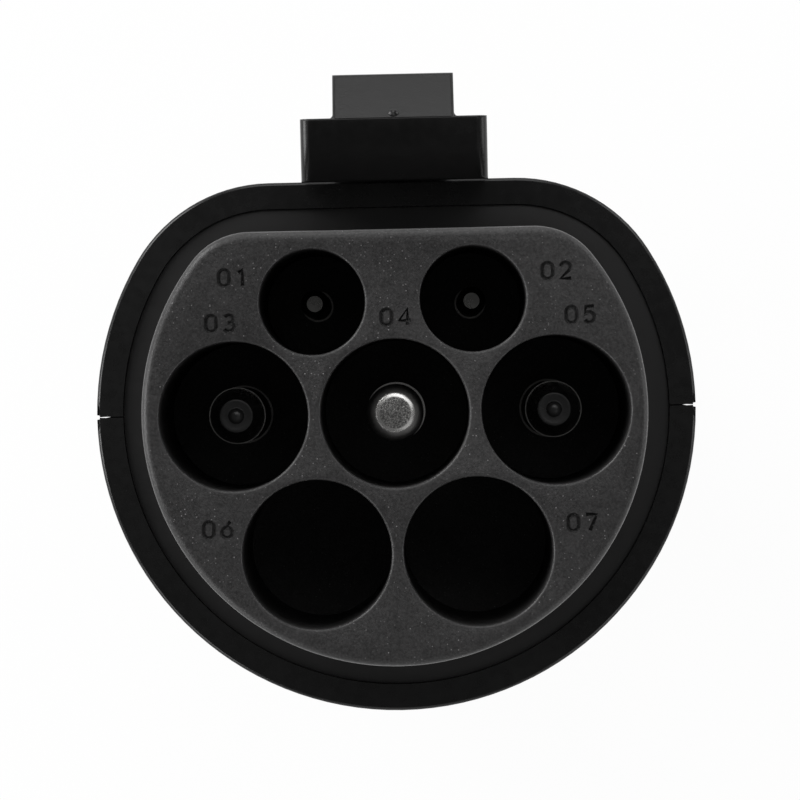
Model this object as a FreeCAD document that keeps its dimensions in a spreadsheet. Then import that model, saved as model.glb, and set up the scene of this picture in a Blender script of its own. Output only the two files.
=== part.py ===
"""Electric vehicle charging adapter: a seven-way vehicle plug at the top, a seven-way inlet at the foot.

The adapter stands on its inlet end. The contacts run along Z, the latch is on the +Y side,
and X runs to the right as seen by someone who looks into the plug with the latch at the top.
Lengths are millimetres.
"""
import FreeCAD, Part
import math
import os
import Sketcher

# Driving dimensions: alias, value, what it measures
SIZES = (
    ("barrel_radius", 26.3, "belly radius of both D-shaped barrels"),
    ("barrel_flat", 19.1, "height of a barrel's flat above the axis"),
    ("barrel_corner", 7.6, "radius of a barrel's two top corners"),
    ("barrel_edge", 0.9, "bevel of a barrel's front edge"),
    ("shell_radius", 33.1, "belly radius of the housing"),
    ("shell_flat", 25.5, "height of the housing's flat top above the axis"),
    ("shell_corner", 17.2, "radius of the housing's two top corners"),
    ("shell_length", 78.0, "length of the housing"),
    ("shell_edge", 0.9, "bevel of the housing's end edges"),
    ("shell_wall", 4.5, "housing wall at the two end collars"),
    ("lip_wall", 2.9, "housing wall round the end openings"),
    ("groove_wall", 1.75, "housing wall left outside the flange grooves"),
    ("plug_reach", 40.0, "how far the plug barrel stands out of the housing"),
    ("inlet_reach", 40.0, "how far the inlet barrel stands out of the housing"),
    ("waist_depth", 1.4, "depth of the grip below the end collars"),
    ("collar_length", 10.0, "length of each end collar"),
    ("waist_slope", 3.0, "length of the slope between a collar and the grip"),
    ("rib_count", 4.0, "number of finger grooves round the grip"),
    ("rib_pitch", 6.0, "distance between finger grooves"),
    ("rib_depth", 0.55, "depth of a finger groove"),
    ("rib_width", 2.2, "width of a finger groove"),
    ("seam_notch_depth", 1.0, "depth of the notch along the seam of the shells"),
    ("seam_notch_height", 0.35, "half height of that notch at its mouth"),
    ("tongue_inset", 1.0, "distance from the housing's inner wall to the seam's tongue"),
    ("tongue_width", 1.0, "width of the seam's tongue"),
    ("tongue_height", 1.0, "height of the seam's tongue"),
    ("tongue_play", 0.1, "clearance round the seam's tongue"),
    ("flange_recess", 1.0, "how far the flange face lies inside the housing's end"),
    ("flange_step", 3.0, "thickness of the flange's visible step"),
    ("flange_gap", 0.25, "gap between flange and housing"),
    ("rim_thickness", 3.0, "thickness of the flange's captured rim"),
    ("rim_play", 0.1, "end play of the captured rim"),
    ("gasket_thickness", 0.75, "thickness of the gasket behind the rim"),
    ("insert_back", 8.0, "depth of an insert's block behind its rim"),
    ("block_gap", 2.3, "gap between that block and the housing's inner wall"),
    ("contact_pitch", 16.75, "distance between neighbouring power contacts"),
    ("signal_across", 8.35, "distance of the signal contacts from the middle plane"),
    ("signal_up", 11.7, "height of the signal contacts above the axis"),
    ("power_cavity", 7.75, "radius of a power cavity"),
    ("signal_cavity", 5.5, "radius of a signal cavity"),
    ("cavity_depth", 38.0, "depth of every cavity"),
    ("power_pin", 3.0, "radius of a power pin"),
    ("signal_pin", 1.5, "radius of a signal pin"),
    ("power_shank", 3.2, "radius of a power pin between its two exposed ends"),
    ("signal_shank", 1.7, "radius of a signal pin inside its insert"),
    ("pin_play", 0.05, "radial clearance of a pin in its insert"),
    ("earth_recess", 7.0, "depth of the earth pin's end below the face"),
    ("power_recess", 9.5, "depth of the live and neutral ends below the face"),
    ("signal_recess", 17.0, "depth of a signal pin's end below the face"),
    ("earth_nose", 1.5, "bevel of the earth pin's ends"),
    ("signal_nose", 0.65, "bevel of a signal pin's end"),
    ("power_collar", 4.5, "radius of a power pin's collar"),
    ("power_collar_length", 3.0, "length of a power pin's collar"),
    ("signal_collar", 2.5, "radius of a signal pin's collar"),
    ("signal_collar_length", 2.0, "length of a signal pin's collar"),
    ("signal_tail", 1.0, "radius of a signal pin's tail"),
    ("guard_length", 4.5, "length of a finger guard"),
    ("guard_radius", 2.75, "radius of a finger guard"),
    ("guard_face", 1.65, "radius of a finger guard's flat end"),
    ("guard_nose", 1.2, "length of a finger guard's bevel"),
    ("guard_nub", 0.8, "radius of the nub on a finger guard"),
    ("guard_nub_height", 0.4, "height of that nub"),
    ("spigot", 1.6, "radius of the spigot that carries a finger guard"),
    ("spigot_length", 3.0, "length of that spigot"),
    ("retainer_inset", 1.5, "how far a retainer lies inside the block's outline"),
    ("retainer_thickness", 3.0, "thickness of a retainer"),
    ("retainer_play", 0.3, "radial clearance of a pin in a retainer"),
    ("post_radius", 2.0, "radius of the posts that clamp the board"),
    ("post_gap", 2.7, "gap between a lower post and a screw boss"),
    ("lower_post_down", 15.0, "depth of the lower posts below the axis"),
    ("upper_post_across", 14.0, "distance of the upper posts from the middle plane"),
    ("upper_post_up", 13.0, "height of the upper posts above the axis"),
    ("small_screw", 1.25, "radius of a retainer screw"),
    ("small_screw_length", 8.0, "length of a retainer screw under its head"),
    ("small_head", 2.3, "radius of a retainer screw's head"),
    ("small_head_height", 1.6, "height of a retainer screw's head"),
    ("top_screw_up", 14.5, "height of the upper retainer screw above the axis"),
    ("side_screw_across", 12.7, "distance of the lower retainer screws from the middle plane"),
    ("side_screw_down", 10.5, "depth of the lower retainer screws below the axis"),
    ("screw_play", 0.1, "radial clearance of a screw in its hole"),
    ("board_height", 34.0, "distance from the housing's foot end to the board"),
    ("board_thickness", 1.6, "thickness of the board"),
    ("board_inset", 0.8, "gap between the board and the housing's wall"),
    ("board_hole_play", 0.5, "radial clearance of a power pin in the board"),
    ("resistor_length", 3.2, "length of a coding resistor"),
    ("resistor_width", 1.6, "width of a coding resistor"),
    ("resistor_height", 0.6, "height of a coding resistor"),
    ("resistor_pitch", 4.5, "distance between coding resistors"),
    ("resistor_down", 15.0, "depth of the coding resistors below the axis"),
    ("switch_length", 12.8, "length of the switch"),
    ("switch_width", 5.8, "width of the switch, out from the board"),
    ("switch_height", 6.5, "height of the switch"),
    ("switch_gap", 0.3, "gap between the switch and the housing's wall"),
    ("plunger_radius", 1.2, "radius of the switch plunger"),
    ("plunger_play", 0.08, "radial clearance of the plunger in the switch"),
    ("plunger_hole_play", 0.2, "radial clearance of the plunger in the housing"),
    ("plunger_depth", 2.0, "length of the plunger inside the switch"),
    ("plunger_travel", 1.5, "room under the plunger"),
    ("latch_gap", 0.3, "gap between the plunger and the latch"),
    ("boss_inset", 4.4, "distance from the housing's inner wall to the shell screws"),
    ("boss_radius", 3.5, "radius of a screw boss"),
    ("boss_place", 25.0, "distance from each end of the housing to its nearer screws"),
    ("shell_screw", 1.25, "radius of a shell screw"),
    ("shell_screw_length", 20.0, "length of a shell screw under its head"),
    ("shell_head", 2.3, "radius of a shell screw's head"),
    ("shell_head_height", 1.8, "height of a shell screw's head"),
    ("shell_head_depth", 12.0, "distance from the seam down to a shell screw's head"),
    ("head_play", 0.3, "radial clearance of a screw head in its recess"),
    ("hump_width", 19.2, "width over the two cheeks"),
    ("hump_height", 6.1, "height of the cheeks above the flat top"),
    ("hump_foot", 4.0, "distance from the housing's foot end to the cheeks' foot"),
    ("hump_slope", 9.0, "length of the slope at the cheeks' foot"),
    ("hump_front", 7.0, "distance from the cheeks' front to the housing's plug end"),
    ("hump_front_slope", 5.0, "length of the slope at the cheeks' front"),
    ("hump_edge", 1.4, "rounding of the cheeks' top edges"),
    ("bar_width", 12.6, "width of the latch bar"),
    ("bar_play", 0.5, "gap between the latch bar and each cheek"),
    ("pivot_place", 18.0, "distance from the housing's foot end to the pivot"),
    ("pivot_up", 4.1, "height of the pivot above the flat top"),
    ("pivot_radius", 1.5, "radius of the pivot pin"),
    ("pivot_play", 0.05, "radial running clearance of the pivot pin"),
    ("pivot_boss", 3.2, "radius of the latch's boss round the pivot"),
    ("heel_length", 4.0, "length of the latch's heel behind the pivot"),
    ("heel_gap", 0.3, "gap between heel and flat top"),
    ("rear_gap", 0.5, "gap between heel and the end of the channel"),
    ("bar_rise", 4.0, "height of the bar's underside above the flat top, at the plug end"),
    ("bar_top", 8.2, "height of the bar's top above the flat top"),
    ("pad_top", 10.6, "height of the thumb pad above the flat top"),
    ("pad_start", 8.0, "distance from the pivot to the thumb pad"),
    ("pad_length", 28.0, "length of the thumb pad"),
    ("pad_slope", 3.5, "length of the slope at the thumb pad's front"),
    ("pad_ridge_count", 5.0, "number of grooves across the thumb pad"),
    ("pad_ridge_pitch", 3.6, "distance between those grooves"),
    ("pad_ridge_depth", 0.6, "depth of those grooves"),
    ("hook_width", 20.0, "width of the latch's head"),
    ("hook_reach", 22.0, "how far the latch reaches over the plug barrel"),
    ("hook_gap", 0.8, "gap between the housing's end and the latch's head"),
    ("hook_shift", 0.45, "how far the head and tooth lie to the right of the bar's middle"),
    ("hook_drop", 0.77, "how far the head's front reaches down below the flat top"),
    ("hook_back_drop", 0.06, "how far the head's back reaches down below the flat top"),
    ("hook_top", 6.0, "height of the head's top above the flat top"),
    ("hook_ramp", 1.4, "length of the ramp under the head's front"),
    ("hook_ramp_height", 3.2, "height of the ramp under the head's front"),
    ("tooth_width", 13.0, "width of the upright tooth"),
    ("tooth_height", 4.85, "height of the tooth above the head"),
    ("tooth_length", 9.0, "length of the tooth at its foot"),
    ("tooth_ramp", 4.5, "length of the tooth's front ramp"),
    ("tooth_fillet", 0.45, "rounding where the tooth meets the head"),
    ("nub_radius", 0.55, "radius of the nub at the foot of the tooth's ramp"),
    ("spring_radius", 2.4, "outer radius of the latch spring"),
    ("spring_wire", 0.35, "half the thickness of the spring's wire"),
    ("spring_turns", 4.0, "number of turns of the spring"),
    ("spring_place", 15.0, "distance from the spring to the housing's plug end"),
    ("spring_play", 0.4, "radial clearance of the spring in its seats"),
    ("lower_seat", 1.4, "depth of the spring's seat in the flat top"),
    ("upper_seat", 2.9, "depth of the spring's seat in the latch"),
    ("spring_gap", 0.05, "gap at each end of the spring"),
)

doc = FreeCAD.newDocument("charging_adapter")
sizes = doc.addObject("Spreadsheet::Sheet", "sizes")
for row, (alias, number, meaning) in enumerate(SIZES, start=1):
    sizes.set(f"A{row}", meaning)
    sizes.set(f"B{row}", str(number))
    sizes.setAlias(f"B{row}", alias)
doc.recompute()

# Places worked out from the sizes, as formulas for the document's expressions
FOOT_END = "sizes.inlet_reach"
PLUG_END = "(sizes.inlet_reach + sizes.shell_length)"
LATCH_TOP = "(sizes.shell_flat + sizes.hook_top + sizes.tooth_height)"
AXIS_Y = f"(sizes.shell_radius - {LATCH_TOP}) / 2"
PITCH_DOWN = "sizes.contact_pitch * sqrt(3) / 2"
CONTACTS = {
    "pe": ("0", "0"),
    "l1": ("-sizes.contact_pitch", "0"),
    "n": ("sizes.contact_pitch", "0"),
    "l2": ("-sizes.contact_pitch / 2", f"-{PITCH_DOWN}"),
    "l3": ("sizes.contact_pitch / 2", f"-{PITCH_DOWN}"),
    "cc": ("-sizes.signal_across", "sizes.signal_up"),
    "cp": ("sizes.signal_across", "sizes.signal_up"),
}
POWER = ("pe", "l1", "n", "l2", "l3")
SIGNAL = ("cc", "cp")
FITTED = ("pe", "l1", "n")
RIM_BACK = "(sizes.flange_recess + sizes.flange_step + sizes.rim_thickness)"
INSERT_DEPTH = f"({RIM_BACK} + sizes.insert_back)"
BOSS_PLACES = (f"({FOOT_END} + sizes.boss_place)", f"({PLUG_END} - sizes.boss_place)")
BOARD_FOOT = f"({FOOT_END} + sizes.board_height)"
BOARD_HEAD = f"({BOARD_FOOT} + sizes.board_thickness)"
PIVOT_Z = f"({FOOT_END} + sizes.pivot_place)"
PIVOT_Y = "(sizes.shell_flat + sizes.pivot_up)"
PLUNGER_Z = f"({BOARD_HEAD} + sizes.switch_width / 2)"
SWITCH_TOP = "(sizes.shell_flat - sizes.shell_wall - sizes.switch_gap)"
SPRING_Z = f"({PLUG_END} - sizes.spring_place)"
HOOK_FRONT = f"({PLUG_END} + sizes.hook_reach)"
INNER_RADIUS = "(sizes.shell_radius - sizes.shell_wall)"
BOSS_ACROSS = f"({INNER_RADIUS} - sizes.boss_inset)"
LOWER_POST_ACROSS = f"({BOSS_ACROSS} - sizes.boss_radius - sizes.post_radius - sizes.post_gap)"


def amount(formula):
    """The present value of a formula."""
    return float(sizes.evalExpression(formula))


def origin_part(body, role):
    """One of a body's own origin planes or axes."""
    return next(feature for feature in body.Origin.OriginFeatures if feature.Role == role)


def new_body(label, keyed=True):
    """A body on the contacts' axis, which lies off the frame's Z axis so that the frame is centred."""
    body = doc.addObject("PartDesign::Body", label)
    body.Label = label
    if keyed:
        body.setExpression("Placement.Base.y", AXIS_Y)
    return body


def new_sketch(body, name, role="XY_Plane", offset="0"):
    sketch = body.newObject("Sketcher::SketchObject", name)
    sketch.AttachmentSupport = [(origin_part(body, role), "")]
    sketch.MapMode = "FlatFace"
    sketch.setExpression("AttachmentOffset.Base.z", offset)
    return sketch


def hold(sketch, element, end, kind, formula, name):
    """Ties one coordinate of a point to a formula, measured from the sketch's origin."""
    value = amount(formula)
    if abs(value) < 1e-9:
        axis = -2 if kind == "DistanceX" else -1
        sketch.addConstraint(Sketcher.Constraint("PointOnObject", element, end, axis))
        return
    if value < 0:
        index = sketch.addConstraint(Sketcher.Constraint(kind, element, end, -1, 1, -value))
        formula = f"-({formula})"
    else:
        index = sketch.addConstraint(Sketcher.Constraint(kind, -1, 1, element, end, value))
    sketch.renameConstraint(index, name)
    sketch.setExpression(f"Constraints.{name}", formula)


def draw_circles(sketch, circles):
    """Circles given as (across, up, radius) formulas."""
    for number, (across, up, radius) in enumerate(circles):
        centre = FreeCAD.Vector(amount(across), amount(up), 0)
        circle = Part.Circle(centre, FreeCAD.Vector(0, 0, 1), amount(radius))
        element = sketch.addGeometry(circle, False)
        hold(sketch, element, 3, "DistanceX", across, f"across_{number}")
        hold(sketch, element, 3, "DistanceY", up, f"up_{number}")
        index = sketch.addConstraint(Sketcher.Constraint("Radius", element, amount(radius)))
        sketch.renameConstraint(index, f"radius_{number}")
        sketch.setExpression(f"Constraints.radius_{number}", radius)


def draw_polygon(sketch, points):
    """A closed outline of straight lines through points given as (across, up) formulas."""
    start = sketch.GeometryCount
    places = [FreeCAD.Vector(amount(across), amount(up), 0) for across, up in points]
    for number, place in enumerate(places):
        following = places[(number + 1) % len(places)]
        sketch.addGeometry(Part.LineSegment(place, following), False)
    for number, (across, up) in enumerate(points):
        following = start + (number + 1) % len(points)
        sketch.addConstraint(Sketcher.Constraint("Coincident", start + number, 2, following, 1))
        hold(sketch, start + number, 1, "DistanceX", across, f"across_{start + number}")
        hold(sketch, start + number, 1, "DistanceY", up, f"up_{start + number}")


def draw_box(sketch, left, right, low, high):
    draw_polygon(sketch, ((left, low), (right, low), (right, high), (left, high)))


def draw_d(sketch, family, inward="0"):
    """A D: one large arc, a flat on top and a corner arc at each end of the flat."""
    radius = f"sizes.{family}_radius - ({inward})"
    flat = f"sizes.{family}_flat - ({inward})"
    corner = f"sizes.{family}_corner - ({inward})"
    big, top, small = amount(radius), amount(flat), amount(corner)
    up = top - small
    across = math.sqrt((big - small) ** 2 - up ** 2)
    touch = math.atan2(up, across)
    axis = FreeCAD.Vector(0, 0, 1)
    belly = Part.Circle(FreeCAD.Vector(0, 0, 0), axis, big)
    right = Part.Circle(FreeCAD.Vector(across, up, 0), axis, small)
    left = Part.Circle(FreeCAD.Vector(-across, up, 0), axis, small)
    start = sketch.GeometryCount
    sketch.addGeometry(Part.ArcOfCircle(belly, math.pi - touch, 2 * math.pi + touch), False)
    sketch.addGeometry(Part.ArcOfCircle(right, touch, math.pi / 2), False)
    ends = (FreeCAD.Vector(across, top, 0), FreeCAD.Vector(-across, top, 0))
    sketch.addGeometry(Part.LineSegment(*ends), False)
    sketch.addGeometry(Part.ArcOfCircle(left, math.pi / 2, math.pi - touch), False)
    sketch.addConstraint(Sketcher.Constraint("Coincident", start, 3, -1, 1))
    for number in range(4):
        following = start + (number + 1) % 4
        sketch.addConstraint(Sketcher.Constraint("Tangent", start + number, 2, following, 1))
    sketch.addConstraint(Sketcher.Constraint("Horizontal", start + 2))
    sketch.addConstraint(Sketcher.Constraint("Equal", start + 1, start + 3))
    for kind, element, value, name, formula in (
        ("Radius", start, big, f"belly_{start}", radius),
        ("Radius", start + 1, small, f"corner_{start}", corner),
    ):
        index = sketch.addConstraint(Sketcher.Constraint(kind, element, value))
        sketch.renameConstraint(index, name)
        sketch.setExpression(f"Constraints.{name}", formula)
    hold(sketch, start + 2, 1, "DistanceY", flat, f"flat_{start}")


def extrude(body, kind, name, sketch, length, reverse=False, symmetric=False):
    """A pad or a pocket of a sketch."""
    feature = body.newObject(f"PartDesign::{kind}", name)
    feature.Profile = sketch
    feature.setExpression("Length", length)
    feature.Reversed = reverse
    if symmetric:
        feature.SideType = "Symmetric"
    return feature


def turn(body, kind, name, sketch, axis="V_Axis"):
    """A revolution or a groove of a sketch about one of its axes."""
    feature = body.newObject(f"PartDesign::{kind}", name)
    feature.Profile = sketch
    feature.ReferenceAxis = (sketch, [axis])
    feature.Angle = 360
    return feature


def pattern(body, name, feature, role, count, pitch):
    """Repeats a feature along one of the body's own axes."""
    repeat = body.newObject("PartDesign::LinearPattern", name)
    repeat.Originals = [feature]
    repeat.Direction = (origin_part(body, role), [""])
    repeat.Mode = "Spacing"
    repeat.setExpression("Offset", pitch)
    repeat.setExpression("Occurrences", count)
    body.Tip = repeat
    return repeat


def soften(body, kind, name, test, size):
    """Rounds or chamfers the edges of the body's latest feature that pass a test."""
    doc.recompute()
    base = body.Tip
    names = [f"Edge{number}" for number, edge in enumerate(base.Shape.Edges, start=1) if test(edge)]
    feature = body.newObject(f"PartDesign::{kind}", name)
    feature.Base = (base, names)
    feature.setExpression("Radius" if kind == "Fillet" else "Size", size)
    return feature


def lies_at_height(edge, height):
    box = edge.BoundBox
    return abs(box.ZMin - height) < 1e-4 and abs(box.ZMax - height) < 1e-4


def is_round(edge):
    return edge.isClosed() and isinstance(edge.Curve, Part.Circle)


def place_at_plug(body):
    """Puts a body that is drawn outwards from the housing's end at the plug end."""
    body.setExpression("Placement.Base.z", PLUG_END)


def place_at_inlet(body):
    """Puts a body that is drawn outwards from the housing's end at the inlet end, turned over about Y."""
    body.Placement.Rotation = FreeCAD.Rotation(FreeCAD.Vector(0, 1, 0), 180)
    body.setExpression("Placement.Base.z", FOOT_END)


def contact_circles(names, radius):
    return [(*CONTACTS[name], radius) for name in names]


def mirrored_pair(across, up, radius):
    return [(f"-({across})", up, radius), (across, up, radius)]


def retainer_screw_circles(radius):
    lower = mirrored_pair("sizes.side_screw_across", "-sizes.side_screw_down", radius)
    return [("0", "sizes.top_screw_up", radius)] + lower


def post_circles():
    lower = mirrored_pair(LOWER_POST_ACROSS, "-sizes.lower_post_down", "sizes.post_radius")
    upper = mirrored_pair("sizes.upper_post_across", "sizes.upper_post_up", "sizes.post_radius")
    return lower + upper


# Inserts: a D-shaped barrel with seven deep cavities, on a stepped flange that the shells capture
def make_insert(label, reach, collared):
    body = new_body(label)
    rim_sketch = new_sketch(body, f"{label}_rim_outline", offset=f"-{RIM_BACK}")
    draw_d(rim_sketch, "shell", "sizes.groove_wall + sizes.flange_gap")
    extrude(body, "Pad", f"{label}_rim", rim_sketch, "sizes.rim_thickness")
    step_depth = "(sizes.flange_recess + sizes.flange_step)"
    step_sketch = new_sketch(body, f"{label}_step_outline", offset=f"-{step_depth}")
    draw_d(step_sketch, "shell", "sizes.lip_wall + sizes.flange_gap")
    extrude(body, "Pad", f"{label}_step", step_sketch, "sizes.flange_step")
    block_sketch = new_sketch(body, f"{label}_block_outline", offset=f"-{INSERT_DEPTH}")
    draw_d(block_sketch, "shell", "sizes.shell_wall + sizes.block_gap")
    extrude(body, "Pad", f"{label}_block", block_sketch, "sizes.insert_back")
    barrel_sketch = new_sketch(body, f"{label}_barrel_outline", offset="-sizes.flange_recess")
    draw_d(barrel_sketch, "barrel")
    extrude(body, "Pad", f"{label}_barrel", barrel_sketch, f"sizes.flange_recess + {reach}")

    cavity_sketch = new_sketch(body, f"{label}_cavity_outline", offset=reach)
    draw_circles(cavity_sketch, contact_circles(POWER, "sizes.power_cavity")
                 + contact_circles(SIGNAL, "sizes.signal_cavity"))
    extrude(body, "Pocket", f"{label}_cavities", cavity_sketch, "sizes.cavity_depth")
    bore_sketch = new_sketch(body, f"{label}_bore_outline", offset=f"-{INSERT_DEPTH}")
    draw_circles(bore_sketch, contact_circles(FITTED, "sizes.power_shank + sizes.pin_play")
                 + contact_circles(SIGNAL, "sizes.signal_shank + sizes.pin_play"))
    bore_length = f"{INSERT_DEPTH} + {reach} - sizes.cavity_depth"
    extrude(body, "Pocket", f"{label}_bores", bore_sketch, bore_length, reverse=True)
    for name, contacts, radius, depth in (
        ("power", FITTED, "sizes.power_collar", "sizes.power_collar_length"),
        ("signal", SIGNAL, "sizes.signal_collar", "sizes.signal_collar_length"),
    ):
        if name in collared:
            seat_sketch = new_sketch(body, f"{label}_{name}_seat_outline", offset=f"-{INSERT_DEPTH}")
            draw_circles(seat_sketch, contact_circles(contacts, f"{radius} + sizes.pin_play"))
            extrude(body, "Pocket", f"{label}_{name}_seats", seat_sketch, depth, reverse=True)
    pilot_sketch = new_sketch(body, f"{label}_pilot_outline", offset=f"-{INSERT_DEPTH}")
    draw_circles(pilot_sketch, retainer_screw_circles("sizes.small_screw + sizes.screw_play"))
    pilot_length = "sizes.small_screw_length - sizes.retainer_thickness + sizes.screw_play"
    extrude(body, "Pocket", f"{label}_pilots", pilot_sketch, pilot_length, reverse=True)

    face = amount(reach)
    soften(body, "Chamfer", f"{label}_edge",
           lambda edge: lies_at_height(edge, face) and not is_round(edge), "sizes.barrel_edge")
    return body


# Gaskets: flat D-shaped rings between the captured rims and the housing's shoulders
def make_gasket(label):
    body = new_body(label)
    sketch = new_sketch(body, f"{label}_outline", offset=f"-({RIM_BACK} + sizes.gasket_thickness)")
    draw_d(sketch, "shell", "sizes.groove_wall + sizes.flange_gap")
    draw_d(sketch, "shell", "sizes.shell_wall")
    extrude(body, "Pad", f"{label}_ring", sketch, "sizes.gasket_thickness")
    return body


# Retainers: plates behind the inserts, with posts that reach to the board
def make_retainer(label, post_length):
    body = new_body(label)
    back = f"({INSERT_DEPTH} + sizes.retainer_thickness)"
    plate_sketch = new_sketch(body, f"{label}_plate_outline", offset=f"-{back}")
    draw_d(plate_sketch, "shell", "sizes.shell_wall + sizes.block_gap + sizes.retainer_inset")
    draw_circles(plate_sketch, contact_circles(FITTED, "sizes.power_shank + sizes.retainer_play")
                 + contact_circles(SIGNAL, "sizes.signal_pin + sizes.retainer_play")
                 + retainer_screw_circles("sizes.small_screw + sizes.screw_play"))
    extrude(body, "Pad", f"{label}_plate", plate_sketch, "sizes.retainer_thickness")
    post_sketch = new_sketch(body, f"{label}_post_outline", offset=f"-{back}")
    draw_circles(post_sketch, post_circles())
    extrude(body, "Pad", f"{label}_posts", post_sketch, post_length, reverse=True)
    return body


# Pins: turned parts, drawn as half sections in the XZ plane and revolved
def make_turned(label, contact, points):
    body = new_body(label, keyed=False)
    across, up = CONTACTS[contact]
    body.setExpression("Placement.Base.x", across)
    body.setExpression("Placement.Base.y", f"{AXIS_Y} + {up}")
    sketch = new_sketch(body, f"{label}_section", role="XZ_Plane")
    draw_polygon(sketch, points)
    turn(body, "Revolution", f"{label}_turned", sketch)
    return body


PLUG_FACE = f"({PLUG_END} + sizes.plug_reach)"
COLLAR_FOOT = f"({PLUG_END} - {INSERT_DEPTH})"
COLLAR_HEAD = f"({COLLAR_FOOT} + sizes.power_collar_length)"
PLUG_FLOOR = f"({PLUG_FACE} - sizes.cavity_depth)"
SHANK_OUTLINE = (
    ("sizes.power_pin", "sizes.cavity_depth"), ("sizes.power_shank", "sizes.cavity_depth"),
    ("sizes.power_shank", COLLAR_FOOT), ("sizes.power_collar", COLLAR_FOOT),
    ("sizes.power_collar", COLLAR_HEAD), ("sizes.power_shank", COLLAR_HEAD),
    ("sizes.power_shank", PLUG_FLOOR), ("sizes.power_pin", PLUG_FLOOR))


def make_earth_pin():
    foot = "sizes.earth_recess"
    head = f"({PLUG_FACE} - sizes.earth_recess)"
    flat = "(sizes.power_pin - sizes.earth_nose)"
    make_turned("pe_pin", "pe", (
        ("0", foot), (flat, foot), ("sizes.power_pin", f"{foot} + sizes.earth_nose"), *SHANK_OUTLINE,
        ("sizes.power_pin", f"{head} - sizes.earth_nose"), (flat, head), ("0", head)))


def make_power_pin(label):
    foot = "(sizes.power_recess + sizes.guard_length)"
    head = f"({PLUG_FACE} - {foot})"
    foot_end = f"({foot} - sizes.spigot_length)"
    head_end = f"({head} + sizes.spigot_length)"
    make_turned(f"{label}_pin", label, (
        ("0", foot_end), ("sizes.spigot", foot_end), ("sizes.spigot", foot), ("sizes.power_pin", foot),
        *SHANK_OUTLINE, ("sizes.power_pin", head), ("sizes.spigot", head), ("sizes.spigot", head_end),
        ("0", head_end)))


def make_guard(label, contact, at_plug):
    """A finger guard on a pin's spigot. It is drawn outwards from its seat on the pin."""
    bore = "sizes.spigot + sizes.pin_play"
    bore_end = "sizes.spigot_length + sizes.pin_play"
    flat = "sizes.guard_length - sizes.guard_nub_height"
    body = make_turned(label, contact, (
        (bore, "0"), ("sizes.guard_radius", "0"), ("sizes.guard_radius", f"{flat} - sizes.guard_nose"),
        ("sizes.guard_face", flat), ("sizes.guard_nub", flat),
        ("sizes.guard_nub", "sizes.guard_length"), ("0", "sizes.guard_length"),
        ("0", bore_end), (bore, bore_end)))
    seat = "(sizes.power_recess + sizes.guard_length)"
    if at_plug:
        body.setExpression("Placement.Base.z", f"{PLUG_FACE} - {seat}")
    else:
        body.Placement.Rotation = FreeCAD.Rotation(FreeCAD.Vector(0, 1, 0), 180)
        body.setExpression("Placement.Base.z", seat)


def make_signal_pin(label, contact, at_plug):
    """A signal pin from its tip to the board. It is drawn from the board outwards."""
    length = f"{PLUG_FACE} - {BOARD_HEAD}" if at_plug else BOARD_FOOT
    tip = f"({length} - sizes.signal_recess)"
    end_depth = COLLAR_FOOT if at_plug else f"({FOOT_END} + {INSERT_DEPTH})"
    collar_foot = f"({end_depth} - {BOARD_HEAD})" if at_plug else f"({BOARD_FOOT} - {end_depth})"
    collar_head = f"({collar_foot} + sizes.signal_collar_length)"
    tail_head = f"({collar_foot} - sizes.retainer_thickness)"
    floor = f"({length} - sizes.cavity_depth)"
    body = make_turned(label, contact, (
        ("0", "0"), ("sizes.signal_tail", "0"), ("sizes.signal_tail", tail_head),
        ("sizes.signal_pin", tail_head), ("sizes.signal_pin", collar_foot),
        ("sizes.signal_collar", collar_foot), ("sizes.signal_collar", collar_head),
        ("sizes.signal_shank", collar_head), ("sizes.signal_shank", floor),
        ("sizes.signal_pin", floor), ("sizes.signal_pin", f"{tip} - sizes.signal_nose"),
        ("sizes.signal_pin - sizes.signal_nose", tip), ("0", tip)))
    if at_plug:
        body.setExpression("Placement.Base.z", BOARD_HEAD)
    else:
        body.Placement.Rotation = FreeCAD.Rotation(FreeCAD.Vector(0, 1, 0), 180)
        body.setExpression("Placement.Base.z", BOARD_FOOT)


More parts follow.
